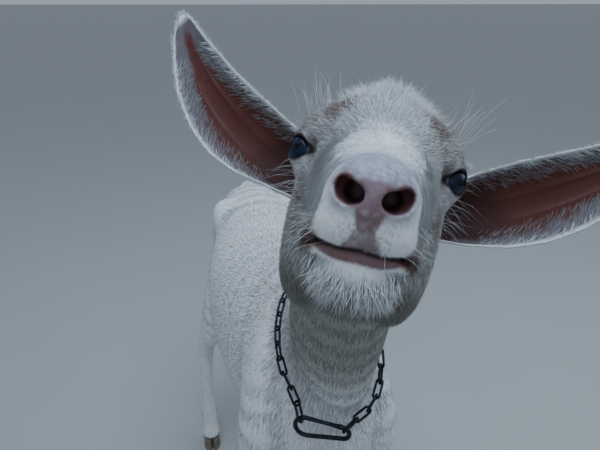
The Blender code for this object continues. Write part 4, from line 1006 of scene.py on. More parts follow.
def patch(u, v, count_points):
    """Each tuft's patch on the unwrap: 0.003 across, its base and tip at either end."""
    bent = count_points == BENT_POINTS
    side = np.array([-1, 1, 0, -0.7, 0.7, 0, 0] if bent else [-1, 1, 0, 0]) * PATCH_HALF
    along = np.array([0, 0, 0.3, 1, 1, 1.3, 2] if bent else [0, 0, 0.3, 2]) * PATCH_HALF - PATCH_HALF
    u, v = (UNWRAP_MARGIN + (1 - 2 * UNWRAP_MARGIN) * np.clip(part, 0, 1) for part in (u, v))
    return np.stack([u[:, None] + side, v[:, None] + along], -1)


def turn_share(a, b):
    """An angle as a share of a whole turn."""
    return np.arctan2(a, b) / (2 * np.pi) + 0.5


def unwrapped(points, part):
    """Where a place lies on the skin's unwrap: round the part's own axis, and along it."""
    if part == "head":
        head = in_head(points)
        return turn_share(head[:, 1], head[:, 2] + 0.02), (head[:, 0] + 0.14) / 0.29
    if part == "trunk":
        return turn_share(points[:, 0], points[:, 2] - 0.48), (points[:, 1] + 0.19) / 0.88
    if part == "neck":
        middle = -0.03 - 0.72 * (points[:, 2] - 0.55)
        return turn_share(points[:, 0], points[:, 1] - middle), (points[:, 2] - 0.30) / 0.75
    column = (points[:, 0] > 0) * 1 + (points[:, 1] > 0.22) * 2
    spine = np.array([[-0.080, -0.01], [0.080, -0.01], [-0.115, 0.46], [0.088, 0.48]])[column]
    turn = turn_share(points[:, 0] - spine[:, 0], points[:, 1] - spine[:, 1])
    return (column + turn) / 4, points[:, 2] / 0.60


def coat_piece(name, made, material):
    """One mesh from lists of tufts, each with its points, faces, colours and place on the unwrap."""
    points, faces, colours, uvs, shift = [], [], [], [], 0
    for tuft_points, tuft_faces, colour, (u, v) in made:
        per = tuft_points.shape[1]
        points.append(tuft_points.reshape(-1, 3))
        faces.append(tuft_faces + shift)
        colours.append(colour.reshape(-1, 3))
        uvs.append(patch(u, v, per).reshape(-1, 2))
        shift += tuft_points.shape[0] * per
    piece = new_piece(name, np.concatenate(points), np.concatenate(faces), material,
                      np.concatenate(colours), np.concatenate(uvs))
    return piece


def grown(count, seed, part, look, density, length, width, lift, fall, bent, jitter=0.13, side=0.20,
          deep=0.30, spread=0.20, painted_root_shade=0.28):
    """Tufts on the skin, each a little different, in the colour of the marking below its middle.

    Length, width, lift and fall are numbers or functions of the place.
    """
    root, normal, rng = roots(count, density, seed)
    run = lie(root, normal)
    across = np.cross(normal, run)
    run = unit(run + across * rng.normal(0, jitter, (count, 1)))
    long, wide, rise, drop = (value(root) if callable(value) else value
                              for value in (length, width, lift, fall))
    long = long * rng.uniform(0.72, 1.28, count)
    tall = rng.uniform(0.75, 1.35, count)
    wide = wide * rng.uniform(0.75, 1.25, count)
    points, faces = tufts(root, normal, run, long, wide, rise * tall, drop * tall, bent,
                          rng.normal(0, side, count), True, deep)
    middle = root + run * (0.5 * long)[:, None]
    colour = shaded(markings(middle, look), rng, points.shape[1], spread, painted_root_shade)
    return points, faces, colour, unwrapped(root, part)


def ear_tufts(name, look, rng, front, share, across, length, width, lift, inward, bent, pale=0.0):
    """Tufts on one face of an ear, run towards its tip and, by inward, from the rim towards the middle.

    Share runs from the root at 0 to the tip at 1, and across from rim to rim. Pale mixes in white.
    """
    count = len(share)
    place, normal, along, over = ear_at(name, share, across)
    normal = unit(normal) * (1 if front else -1)
    turn = -np.sign(across) * inward + rng.normal(0, 0.22, count)
    run = unit(along + over * turn[:, None])
    run = unit(run - (run * normal).sum(-1, keepdims=True) * normal)
    root = place + normal * (EAR_THICKNESS / 2 - 0.0004)
    size, thick = length * rng.uniform(0.65, 1.30, count), width * rng.uniform(0.7, 1.3, count)
    points, faces = tufts(root, normal, run, size, thick, lift, lift * 0.5, bent,
                          rng.normal(0, 0.2, count), False)
    colour, bare = ear_colour(share, across, np.full(count, front), look)
    colour = mixed(colour, look.white, pale + 0 * share)
    colour = shaded(colour, rng, points.shape[1], 0.16)
    kept = (bare < 0.45) | (pale > 0.2)
    left_out = (np.arange(count)[kept] - np.arange(kept.sum()))[:, None, None]
    faces = faces.reshape(count, -1, 3)[kept] - left_out * points.shape[1]
    u = (across[kept] + 1) / 4 + (0.0 if front else 0.5)
    v = (share[kept] - EAR_ROOT) / (1 - EAR_ROOT)
    return points[kept], faces.reshape(-1, 3), colour[kept], (u, v)


def ear_coat(name, look, fringe, full, seed):
    """The cover outside, the borders inside, the fringe over the cup and the fine edge of the rim."""
    rng = np.random.default_rng(seed)

    def spread(count, low, high, rim):
        """Count places: across is from the rim inwards by a share, or anywhere where rim is 1."""
        count = int(count * full)
        share = low + (high - low) * (np.arange(count) + rng.random(count)) / count
        inside = 1 - rim * rng.random(count) ** 1.2
        return share, inside * rng.choice((-1.0, 1.0), count)

    rows = (
        # on the inside, spread, length, width, lift, inward, bent and pale
        (False, (9500, -0.12, 0.99, 1.0), 0.0075, 0.0007, 0.05, 0.0, False, 0.0),
        (True, (9000, 0.0, 0.985, 0.62), 0.0075, 0.0005, 0.12, 0.70, False, 0.02),
        (True, (3600, 0.50, 0.99, 1.0), 0.0070, 0.0005, 0.12, 0.30, False, 0.02),
        (True, (1100, 0.02, 0.78, 0.45), fringe, 0.0005, 0.26, 0.90, True, 0.30),
        (True, (1300, 0.0, 0.97, 0.04), 0.0030, 0.0005, 0.06, -0.20, False, 0.30),
    )
    return [ear_tufts(name, look, rng, front, *spread(*places), *values) for front, places, *values in rows]


def long_hairs(at, spread, count, seed, run, length, width, droop, look, jitter=0.20):
    """Hairs that stand free, rooted on both sides near a place of the head and drooping towards the tip."""
    root, _, rng = roots(count, lambda points: blob(mirrored(in_head(points)), at, spread), seed)
    side = np.sign(in_head(root)[:, 1])
    ahead = np.asarray(run)[None] * np.stack([0 * side + 1, side, 0 * side + 1], -1)
    ahead = unit(unit(ahead + rng.normal(0, jitter, (count, 3))) @ HEAD)
    up = np.array([0.0, 0.0, 1.0]) - ahead[:, 2:] * ahead
    size = length * rng.uniform(0.55, 1.30, count)
    points, faces = tufts(root, unit(up + 1e-6), ahead, size, width, 0.0, droop, True,
                          rng.normal(0, 0.12, count), False)
    colour = shaded(mixed(markings(root, look), look.white, 0.5 + 0 * side), rng, 7, 0.10, 0.05)
    return points, faces, colour, unwrapped(root, "head")


# Materials
def shader_material(name, roughness, **sockets):
    made = bpy.data.materials.new(name)
    made.use_nodes = True
    shader = made.node_tree.nodes["Principled BSDF"]
    shader.inputs["Roughness"].default_value = roughness
    for socket, value in sockets.items():
        shader.inputs[socket.replace("_", " ").title().replace("Ior", "IOR")].default_value = value
    return made, made.node_tree, shader


def noise_of(tree, scale, detail=3.0, stretch=(1, 1, 1)):
    """Noise on Object coordinates, drawn out along an axis by a stretch below one."""
    place = tree.nodes.new("ShaderNodeTexCoord")
    turn = tree.nodes.new("ShaderNodeMapping")
    turn.inputs["Scale"].default_value = stretch
    noise = tree.nodes.new("ShaderNodeTexNoise")
    noise.inputs["Scale"].default_value = scale
    noise.inputs["Detail"].default_value = detail
    tree.links.new(place.outputs["Object"], turn.inputs["Vector"])
    tree.links.new(turn.outputs["Vector"], noise.inputs["Vector"])
    return noise.outputs["Fac"]


def bump_of(tree, shader, height, distance, strength=1.0):
    bump = tree.nodes.new("ShaderNodeBump")
    bump.inputs["Distance"].default_value = distance
    bump.inputs["Strength"].default_value = strength
    tree.links.new(height, bump.inputs["Height"])
    tree.links.new(bump.outputs["Normal"], shader.inputs["Normal"])


def tinted(tree, shader, source, factor, low, high):
    """The base colour as source times a grey that runs from low to high with the factor."""
    span = tree.nodes.new("ShaderNodeMapRange")
    span.inputs["To Min"].default_value = low
    span.inputs["To Max"].default_value = high
    times = tree.nodes.new("ShaderNodeVectorMath")
    times.operation = "SCALE"
    tree.links.new(factor, span.inputs["Value"])
    tree.links.new(source, times.inputs[0])
    tree.links.new(span.outputs["Result"], times.inputs["Scale"])
    tree.links.new(times.outputs["Vector"], shader.inputs["Base Color"])


def colour_attribute(tree):
    markings_node = tree.nodes.new("ShaderNodeAttribute")
    markings_node.attribute_name = "Markings"
    return markings_node.outputs["Color"]


def skin_material():
    made, tree, shader = shader_material("short_coat_and_skin", 0.66, subsurface_weight=0.04,
                                         specular_ior_level=0.22)
    shader.inputs["Subsurface Radius"].default_value = (0.006, 0.003, 0.002)
    fine = noise_of(tree, 420.0, 4.0, (1.0, 0.55, 0.35))
    tinted(tree, shader, colour_attribute(tree), fine, 0.80, 1.14)
    bump_of(tree, shader, fine, 0.0008, 0.8)
    return made


def hair_material():
    made, tree, shader = shader_material("goat_hair", 0.55, specular_ior_level=0.22)
    tinted(tree, shader, colour_attribute(tree), noise_of(tree, 60.0, 2.0), 0.92, 1.07)
    return made


def goat_hair():
    """The one hair material, made when it is first asked for."""
    return bpy.data.materials.get("goat_hair") or hair_material()


def eye_material():
    made, tree, shader = shader_material("wet_eye", 0.04, specular_ior_level=0.24)
    tinted(tree, shader, colour_attribute(tree), noise_of(tree, 900.0, 2.0), 0.75, 1.25)
    return made


def horn_material(colour):
    made, tree, shader = shader_material("hoof_horn", 0.48)
    rings = noise_of(tree, 90.0, 5.0, (0.25, 0.25, 3.0))
    ramp_node = tree.nodes.new("ShaderNodeValToRGB")
    ramp_node.color_ramp.elements[0].color = (*[c * 0.45 for c in colour], 1)
    ramp_node.color_ramp.elements[0].position = 0.32
    ramp_node.color_ramp.elements[1].color = (*[min(c * 1.7, 1) for c in colour], 1)
    ramp_node.color_ramp.elements[1].position = 0.72
    tree.links.new(rings, ramp_node.inputs["Fac"])
    tree.links.new(ramp_node.outputs["Color"], shader.inputs["Base Color"])
    bump_of(tree, shader, rings, 0.0006)
    return made


def steel_material(colour):
    """Blue-black steel, duller where it is scaled and with a little rust in scattered patches."""
    made, tree, shader = shader_material("black_steel", 0.38, metallic=0.85)
    wear = noise_of(tree, 260.0, 6.0)
    ramp_node = tree.nodes.new("ShaderNodeValToRGB")
    rust, scale, worn = (0.050, 0.026, 0.016), (0.020, 0.015, 0.014), [c * 2.2 for c in colour]
    stops = ((0.0, rust), (0.36, scale), (0.46, colour), (0.80, worn))
    ramp_node.color_ramp.elements[1].position = stops[1][0]
    for _ in stops[2:]:
        ramp_node.color_ramp.elements.new(1.0)
    for element, (position, shade) in zip(ramp_node.color_ramp.elements, stops):
        element.position, element.color = position, (*shade, 1)
    tree.links.new(wear, ramp_node.inputs["Fac"])
    tree.links.new(ramp_node.outputs["Color"], shader.inputs["Base Color"])
    dull = tree.nodes.new("ShaderNodeMapRange")
    dull.inputs["To Min"].default_value = 0.62
    dull.inputs["To Max"].default_value = 0.26
    tree.links.new(wear, dull.inputs["Value"])
    tree.links.new(dull.outputs["Result"], shader.inputs["Roughness"])
    bump_of(tree, shader, wear, 0.0002)
    return made


def floor_material():
    made, tree, shader = shader_material("pale_floor", 0.75)
    source = tree.nodes.new("ShaderNodeRGB")
    source.outputs[0].default_value = (0.44, 0.44, 0.43, 1)
    tinted(tree, shader, source.outputs[0], noise_of(tree, 2.5, 3.0), 0.97, 1.03)
    return made


# Eyes, feet and collar
def rings_closed(points):
    """Quads over a grid of rows and columns whose columns close on themselves."""
    rows, columns = points.shape[:2]
    number = np.arange(rows * columns).reshape(rows, columns)
    after = np.roll(number, -1, 1)
    return np.stack([number[:-1], after[:-1], after[1:], number[1:]], -1).reshape(-1, 4)


def capped(points):
    """A tube's rows of points as one closed mesh: quads along it and a fan to a middle point at each end."""
    rows, columns = points.shape[:2]
    quads = rings_closed(points)
    number = np.arange(rows * columns).reshape(rows, columns)
    flat = np.concatenate([points.reshape(-1, 3), points[0].mean(0)[None], points[-1].mean(0)[None]])
    first, last = rows * columns, rows * columns + 1
    start = np.stack([np.roll(number[0], -1), number[0], np.full(columns, first)], -1)
    end = np.stack([number[-1], np.roll(number[-1], -1), np.full(columns, last)], -1)
    faces = [quads, np.concatenate([start, end])]
    a, b, c = (flat[triangles_of(quads)[:, n]] for n in range(3))
    if np.einsum("ij,ij->", a, np.cross(b, c)) < 0:
        faces = [part[:, ::-1] for part in faces]
    return flat, faces


def tube(path, radius, sides, first_side, closed):
    """A round wire: path + radius * (cos a * side + sin a * over), for all places and angles a."""
    path = np.asarray(path, float)
    run = unit(np.roll(path, -1, 0) - np.roll(path, 1, 0) if closed else np.gradient(path, axis=0))
    radius = np.broadcast_to(radius, len(path))
    if not closed:
        round_off = np.radians((80, 60, 40, 20))
        for end, sign in ((0, -1), (-1, 1)):
            extra = path[end] + sign * run[end] * radius[end] * np.sin(round_off)[:, None]
            shrunk = radius[end] * np.cos(round_off)
            if end == 0:
                path, radius = np.vstack([extra, path]), np.concatenate([shrunk, radius])
                run = np.vstack([np.repeat(run[:1], 4, 0), run])
            else:
                path, radius = np.vstack([path, extra[::-1]]), np.concatenate([radius, shrunk[::-1]])
                run = np.vstack([run, np.repeat(run[-1:], 4, 0)])
    side = unit(np.asarray(first_side, float) - (run @ np.asarray(first_side, float))[:, None] * run)
    over = np.cross(run, side)
    angle = np.arange(sides) * 2 * np.pi / sides
    ring = np.cos(angle)[None, :, None] * side[:, None] + np.sin(angle)[None, :, None] * over[:, None]
    points = path[:, None] + radius[:, None, None] * ring
    if not closed:
        return capped(points)
    quads = rings_closed(np.concatenate([points, points[:1]]))
    count = len(path) * sides
    return points.reshape(-1, 3), np.where(quads >= count, quads - count, quads)


def eyeball(side, look_colours):
    """A ball with a bulge at the cornea: radius * (1 + 0.03 * exp(-(a / 0.5)^2)) at angle a from its gaze."""
    gaze = unit(EYE_GAZE * (1, side, 1))
    slit = unit(np.cross(gaze, (0.0, 0.0, 1.0)) * side)
    axes = np.array([gaze, slit, np.cross(gaze, slit)]) @ HEAD
    polar = np.linspace(0.02, np.pi - 0.02, 60)[:, None]
    turn = np.arange(72)[None] * 2 * np.pi / 72
    radius = EYE_RADIUS * (1 + 0.03 * np.exp(-((polar / 0.5) ** 2)))
    across = np.sin(polar)
    local = np.stack(np.broadcast_arrays(np.cos(polar), across * np.cos(turn), across * np.sin(turn)), -1)
    grid = on_head(EYE_AT * (1, side, 1)) + (radius[..., None] * local) @ axes
    points, faces = capped(grid)
    direction = unit(points - on_head(EYE_AT * (1, side, 1))) @ axes.T
    off = np.sqrt(1 - np.clip(direction[:, 0], -1, 1) ** 2)
    off = np.where(direction[:, 0] < 0, 1.2, off)
    colour = np.broadcast_to(np.asarray(look_colours.iris), points.shape).copy()
    pupil = np.maximum(np.abs(direction[:, 1]) / 0.40, np.abs(direction[:, 2]) / 0.16)
    colour = mixed(colour, look_colours.pupil, ramp(pupil, 1.15, 0.85))
    nasal = 0.15 + 0.75 * ramp(direction[:, 1], 0.0, 0.45)
    # Painted highlight: a pale ring at the iris's edge, strongest on the nasal side, in place of the cornea's
    # reflection
    colour = mixed(colour, look_colours.painted_highlight_ring, ramp(off, 0.76, 0.80) * ramp(off, 0.87, 0.84) * nasal)
    colour = mixed(colour, look_colours.dark, ramp(off, 0.84, 0.90))
    return points, faces, colour


def claw(foot, side):
    """Half a cloven hoof: an outline from toe to heel, drawn in and back as it rises, with growth rings."""
    share = np.linspace(0.0, 1.0, 26)
    swell = np.sin(np.pi * np.minimum(share * 1.25, 1) / 2) ** 0.6
    outer = np.stack([CLAW_WIDTH * swell * (1 - 0.75 * share**4), share], -1)
    inner = np.stack([np.zeros(9), np.linspace(1, 0, 11)[1:-1]], -1)
    ring = np.concatenate([outer, inner])
    up = np.linspace(0, 1, 30)[:, None]
    height = 0.0004 + up * (CORONET - 0.0004)
    groove = 1 + 0.012 * np.sin(height * 2 * np.pi / HORN_RING) * ramp(up, 0.1, 0.3)
    length = (1 - 0.28 * up**0.8) * groove
    wide = (1 - 0.08 * up) * groove
    x = foot[0] + side * (CLEFT / 2 + ring[None, :, 0] * wide)
    y = foot[1] + TOE - ring[None, :, 1] * length * CLAW_LENGTH
    bottom = np.stack(np.broadcast_arrays(x, y, height), -1)
    flat = bottom[:1].copy()
    flat[..., 2] = 0.0
    middle = flat.mean(1, keepdims=True)
    sole = middle + (flat - middle) * 0.97
    return capped(np.concatenate([sole, bottom]))


def dewclaw(foot, side):
    """A blunt cone behind the pastern, ringed like the hooves."""
    root = np.array([foot[0] + side * 0.0125, foot[1] + 0.034, 0.072])
    tip = root + np.array([side * 0.004, 0.012, -0.014])
    share = np.linspace(-0.25, 1.0, 18)
    radius = 0.0055 * (1 - 0.45 * np.clip(share, 0, 1) ** 3) * (1 + 0.03 * np.sin(share * 34))
    return tube(root + (tip - root) * share[:, None], radius, 18, (0, 0, 1), False)


def loop_arcs(length, radius_a, radius_b, per_end):
    """The two end arcs of a link or snap in its plane, as centre lines: joined, they are its outline."""
    centre_a, centre_b = radius_a - length / 2, length / 2 - radius_b
    lean = math.asin((radius_a - radius_b) / (centre_b - centre_a))
    turn_a = np.linspace(math.pi / 2 - lean, 3 * math.pi / 2 + lean, per_end)
    turn_b = np.linspace(-math.pi / 2 + lean, math.pi / 2 - lean, per_end)
    arc_a = np.stack([centre_a + radius_a * np.cos(turn_a), radius_a * np.sin(turn_a)], -1)
    arc_b = np.stack([centre_b + radius_b * np.cos(turn_b), radius_b * np.sin(turn_b)], -1)
    return arc_a, arc_b


def link_like(node):
    """A smooth link in the place of a plain one: its own middle, its long way and its wide way."""
    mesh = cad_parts[node].data
    places = np.empty(len(mesh.vertices) * 3)
    mesh.vertices.foreach_get("co", places)
    places = places.reshape(-1, 3) + ORIGIN
    middle = (places.max(0) + places.min(0)) / 2
    _, _, axes = np.linalg.svd(places - places.mean(0), full_matrices=False)
    reach = (places - middle) @ axes.T
    middle = middle + ((reach.max(0) + reach.min(0)) / 2) @ axes
    length, width = (reach.max(0) - reach.min(0))[:2]
    arc_a, arc_b = loop_arcs(length - 2 * LINK_WIRE, *[width / 2 - LINK_WIRE] * 2, 14)
    straight = np.linspace(0, 1, 8)[1:-1, None]
    line = np.vstack([arc_a, arc_a[-1] + (arc_b[0] - arc_a[-1]) * straight, arc_b,
                      arc_b[-1] + (arc_a[0] - arc_b[-1]) * straight])
    path = middle + line[:, :1] * axes[0] + line[:, 1:] * axes[1]
    weld = 1 + 0.10 * np.exp(-((np.arange(len(line)) - 17) / 1.2) ** 2)
    return tube(path, LINK_WIRE * weld, 12, axes[2], True)


def snap_rods():
    """The snap's bent rod and its gate, each as a path and its radii along it."""
    run = unit(SNAP_RUN)
    rise = unit(np.array([0.0, 0.0, 1.0]) - run[2] * run)
    out = np.cross(run, rise)
    narrow, wide = loop_arcs(SNAP_LENGTH - 2 * SNAP_WIRE, SNAP_NARROW_RADIUS, SNAP_WIDE_RADIUS, 26)
    start, end = wide[-1], narrow[0]
    between = np.linspace(0, 1, 22)[1:-1, None]
    rod = np.vstack([start + (end - start) * np.linspace(0.88, 0.99, 5)[:, None], narrow,
                     narrow[-1] + (wide[0] - narrow[-1]) * between, wide,
                     start + (end - start) * np.linspace(0.01, 0.10, 5)[:, None]])
    gate = start + (end - start) * np.linspace(0.125, 0.855, 24)[:, None]
    step = np.arange(24)
    swell = 1 + 0.22 * np.exp(-((step - 22) / 1.3) ** 2) + 0.12 * np.exp(-((step - 1) / 1.5) ** 2)
    collar_end = 1 + 0.25 * np.exp(-((np.arange(len(rod)) - 2) / 1.6) ** 2)
    rod, gate = (SNAP_AT + line[:, :1] * run + line[:, 1:] * rise for line in (rod, gate))
    return (rod, SNAP_WIRE * collar_end), (gate, SNAP_WIRE * 0.88 * swell), out


# The coat, part by part
def head_share(points):
    return ramp(points[..., 2], 0.80, 0.86) * ramp(in_head(points)[..., 0], -0.10, -0.07)


def on_muzzle(points):
    return ramp(in_head(points)[..., 0], 0.048, 0.066) * head_share(points)


def on_forehead(points):
    return ramp(in_head(points)[..., 2], 0.004, 0.018) * (1 - on_muzzle(points)) * head_share(points)


def on_cheek(side):
    def share(points):
        own = in_head(points)[..., 1] * side > 0
        return own * (1 - on_muzzle(points)) * (1 - on_forehead(points)) * head_share(points)
    return share


def on_neck(points):
    return (1 - head_share(points)) * ramp(points[..., 1] * 0.6 - points[..., 2], -0.56, -0.62)


def on_legs(points):
    return ramp(points[..., 2], 0.40, 0.34) * (1 - head_share(points))


def on_tail(points):
    behind = ramp(points[..., 1], 0.590, 0.600) * (points[..., 2] > 0.52)
    return behind * ramp(np.abs(points[..., 0]), 0.030, 0.026)


def on_trunk(points):
    return (1 - head_share(points)) * (1 - on_neck(points)) * (1 - on_legs(points)) * (1 - on_tail(points))


def on_fore_trunk(points):
    return on_trunk(points) * (points[..., 1] < 0.22)


def on_hind_trunk(points):
    return on_trunk(points) * (points[..., 1] >= 0.22)


def face_length(size):
    """Short on the muzzle, longer over the cheeks, brow, jaw and forehead, longest on the crown."""
    def length(points):
        head = in_head(points)
        x, y, z = head[..., 0], np.abs(head[..., 1]), head[..., 2]
        long = 0.15 + 0.32 * ramp(x, 0.122, 0.085) + 0.53 * ramp(x, 0.085, 0.030)
        long = long + 0.62 * ramp(y, 0.012, 0.026) * ramp(x, 0.060, 0.080) * ramp(x, 0.120, 0.100)
        long = long + 1.10 * ramp(z, 0.004, 0.030) * ramp(x, 0.072, 0.030) * ramp(y, 0.040, 0.024)
        long = long + 0.20 * ramp(z, 0.034, 0.052) * ramp(x, 0.03, -0.01)
        long = long + 0.55 * ramp(z, -0.070, -0.095) + 0.25 * ramp(y, 0.030, 0.045) * ramp(z, -0.02, -0.05)
        opening, _ = around_eye(head)
        long = long * (0.10 + 0.90 * ramp(opening, 1.3, 2.9))
        long = long * (1 - 0.72 * blob(mirrored(head), (0.020, 0.0480, 0.0), (0.015, 0.010, 0.013)))
        return size * long
    return length


def face_width(points):
    return 0.00036 + 0.00026 * ramp(in_head(points)[..., 0], 0.10, 0.02)


def side_lift(points):
    """The muzzle's hair lies close on its top and front, and stands off its sides."""
    head = in_head(points)
    return 0.22 + 0.26 * ramp(np.abs(head[..., 1]), 0.022, 0.034) * ramp(head[..., 0], 0.110, 0.090)


def crown_lift(points):
    """How steeply the hair rises: lying on the forehead, standing on the crown."""
    head = in_head(points)
    return 0.24 + 0.14 * ramp(head[..., 0], 0.060, 0.020) + 0.22 * ramp(head[..., 2], 0.040, 0.060)


class Look:
    """The colours as plain tuples, read from the settings."""

    def __init__(self, finish):
        for name in finish.__annotations__:
            setattr(self, name, tuple(getattr(finish, name)))


def colour_setting(name, description, default):
    return bpy.props.FloatVectorProperty(
        name=name, description=description, default=default, subtype="COLOR", size=3, min=0.0, max=1.0
    )


def length_setting(name, description, default):
    return bpy.props.FloatProperty(
        name=name, description=description, default=default, unit="LENGTH", min=0.0005, max=0.2
    )


class GoatCoat(bpy.types.PropertyGroup):
    """How much hair there is and how long it is."""

    fullness: bpy.props.FloatProperty(
        name="Fullness", description="Share of the tufts that are made", default=1.0, subtype="FACTOR",
        min=0.02, max=1.0,
    )
    face: length_setting("Face hair", "Length on the cheeks; the muzzle's is under half of it", 0.0110)
    neck: length_setting("Neck hair", "Length down the neck", 0.016)
    trunk: length_setting("Body hair", "Length on back, sides and belly", 0.018)
    leg: length_setting("Leg hair", "Length down the legs", 0.0095)
    tail: length_setting("Tail hair", "Length of the tail's tuft", 0.030)
    ear_fringe: length_setting("Ear fringe", "Length of the hairs that cross the ear's cup", 0.0135)
    whisker: length_setting("Brow whiskers", "Length of the long hairs over the eyes", 0.044)


class GoatFinish(bpy.types.PropertyGroup):
    """The colours of coat, skin, eyes, horn and steel, with painted shade and a painted highlight among them.
    """

    white: colour_setting("White", "Most of the coat", (0.84, 0.84, 0.84))
    roan: colour_setting("Roan", "Cheeks, brows and withers", (0.43, 0.315, 0.275))
    russet: colour_setting("Russet", "Streaks below the eyes, horn bud patches", (0.30, 0.155, 0.10))
    # On the jaw this cream is painted shade; on the lower legs it darkens the coat towards the hooves
    cream: colour_setting("Cream", "Jaw and lower legs", (0.50, 0.455, 0.38))
    # Painted shade, laid under the jaw and round the upper neck
    shade: colour_setting("Throat", "Under the jaw and round the upper neck", (0.27, 0.255, 0.205))
    grey: colour_setting("Grey", "Round the eyes and the specks on the lip", (0.22, 0.16, 0.155))
    lilac: colour_setting("Nose top", "Short hair over the nose", (0.30, 0.30, 0.37))
    pink: colour_setting("Nose pink", "Nose pad, philtrum and udder", (0.215, 0.120, 0.128))
    nostril: colour_setting("Nostril flesh", "The nostril's outer half", (0.125, 0.048, 0.044))
    lip: colour_setting("Lip", "The bare lower lip", (0.260, 0.155, 0.155))
    # In the nostrils and along the mouth line this dark is painted shade; on the lid rims it is the skin's
    # own colour
    dark: colour_setting("Dark", "Nostrils, mouth line and lid rims", (0.030, 0.016, 0.015))
    ear_border: colour_setting("Ear border", "Hair inside the ear's rim", (0.125, 0.095, 0.102))
    ear_inner: colour_setting("Ear inside", "Bare skin in the ear's cup", (0.105, 0.028, 0.021))
    iris: colour_setting("Iris", "The dark iris", (0.010, 0.018, 0.040))
    pupil: colour_setting("Pupil", "The level slit", (0.002, 0.002, 0.003))
    # Painted highlight, laid as a pale ring round the iris
    painted_highlight_ring: colour_setting("Limbus", "The pale ring round the iris", (0.15, 0.19, 0.25))
    horn: colour_setting("Horn", "Hooves and dewclaws", (0.17, 0.135, 0.10))
    steel: colour_setting("Steel", "Chain and snap", (0.022, 0.024, 0.032))


def stated(context):
    return context.scene.goat_coat, Look(context.scene.goat_finish)


class GOAT_OT_skin(bpy.types.Operator):
    """Make the one skin of head, neck, trunk, legs, tail, udder and ears"""

    bl_idname = "goat.skin"
    bl_label = "Skin"

    def execute(self, context):
        _, look = stated(context)
        points, triangles, _ = flesh()
        parts, faces, colours = [points], [triangles], [markings(points, look)]
        shift = len(points)
        for name in ("left", "right"):
            ear_points, ear_faces = ear_shell(name)
            share = np.repeat(np.linspace(EAR_ROOT, 1, EAR_ROWS), EAR_COLUMNS)
            across = np.tile(np.linspace(-1, 1, EAR_COLUMNS), EAR_ROWS)
            for front in (True, False):
                colours.append(ear_colour(share, across, np.full(share.shape, front), look)[0])
            parts.append(ear_points)
            faces.append(triangles_of(ear_faces) + shift)
            shift += len(ear_points)
        skin = new_piece("goat_skin", np.concatenate(parts), np.concatenate(faces), skin_material(),
                         np.concatenate(colours))
        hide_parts(*FLESH)
        return {"FINISHED"}


class GOAT_OT_eyes(bpy.types.Operator):
    """Make both eyes, with their level pupils and painted highlight rings"""

    bl_idname = "goat.eyes"
    bl_label = "Eyes"

    def execute(self, context):
        _, look = stated(context)
        wet = eye_material()
        for side, name in ((1, "left"), (-1, "right")):
            points, faces, colour = eyeball(side, look)
            eye = new_piece("eyeball_" + name, points, faces, wet, colour)
            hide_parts("eye_" + name)
        return {"FINISHED"}


class GOAT_OT_feet(bpy.types.Operator):
    """Make the cloven hooves and the dewclaws"""

    bl_idname = "goat.feet"
    bl_label = "Hooves and dewclaws"

    def execute(self, context):
        horn = horn_material(stated(context)[1].horn)
        for foot_name, foot in FEET.items():
            for side, place in ((1, "a"), (-1, "b")):
                for kind, shape in (("hoof", claw), ("dewclaw", dewclaw)):
                    node = "%s_%s_%s" % (kind, foot_name, place)
                    piece = new_piece("horn_" + node, *shape(foot, side), horn)
                    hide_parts(node)
        return {"FINISHED"}


class GOAT_OT_head_coat(bpy.types.Operator):
    """Grow the short hair of muzzle, face and cheeks and the longer hair of the crown"""

    bl_idname = "goat.head_coat"
    bl_label = "Head coat"

    def execute(self, context):
        coat, look = stated(context)
        hair = goat_hair()
        full = coat.fullness
        rows = (
            ("coat_muzzle", 38000, on_muzzle, coat.face, side_lift, 0.14, False, 31),
            ("coat_forehead", 19500, on_forehead, coat.face * 1.35, crown_lift, 0.16, True, 32),
            ("coat_cheek_left", 14500, on_cheek(1), coat.face * 1.30, 0.34, 0.16, True, 33),
            ("coat_cheek_right", 14500, on_cheek(-1), coat.face * 1.30, 0.34, 0.16, True, 34),
            ("coat_under_face", 26000, head_share, coat.face * 0.8, 0.12, 0.06, False, 35),
        )
        for name, count, where, long, lift, fall, bent, seed in rows:
            made = grown(int(count * full), seed, "head", look, where, face_length(long), face_width,
                         lift, fall, bent)
            coat_piece(name, [made], hair)
        return {"FINISHED"}


class GOAT_OT_ear_coat(bpy.types.Operator):
    """Grow the hair outside the ears, their inner borders and the fringe across the cup"""

    bl_idname = "goat.ear_coat"
    bl_label = "Ear coat"

    def execute(self, context):
        coat, look = stated(context)
        hair = goat_hair()
        for name, seed in (("left", 51), ("right", 52)):
            coat_piece("coat_ear_" + name, ear_coat(name, look, coat.ear_fringe, coat.fullness, seed), hair)
        return {"FINISHED"}


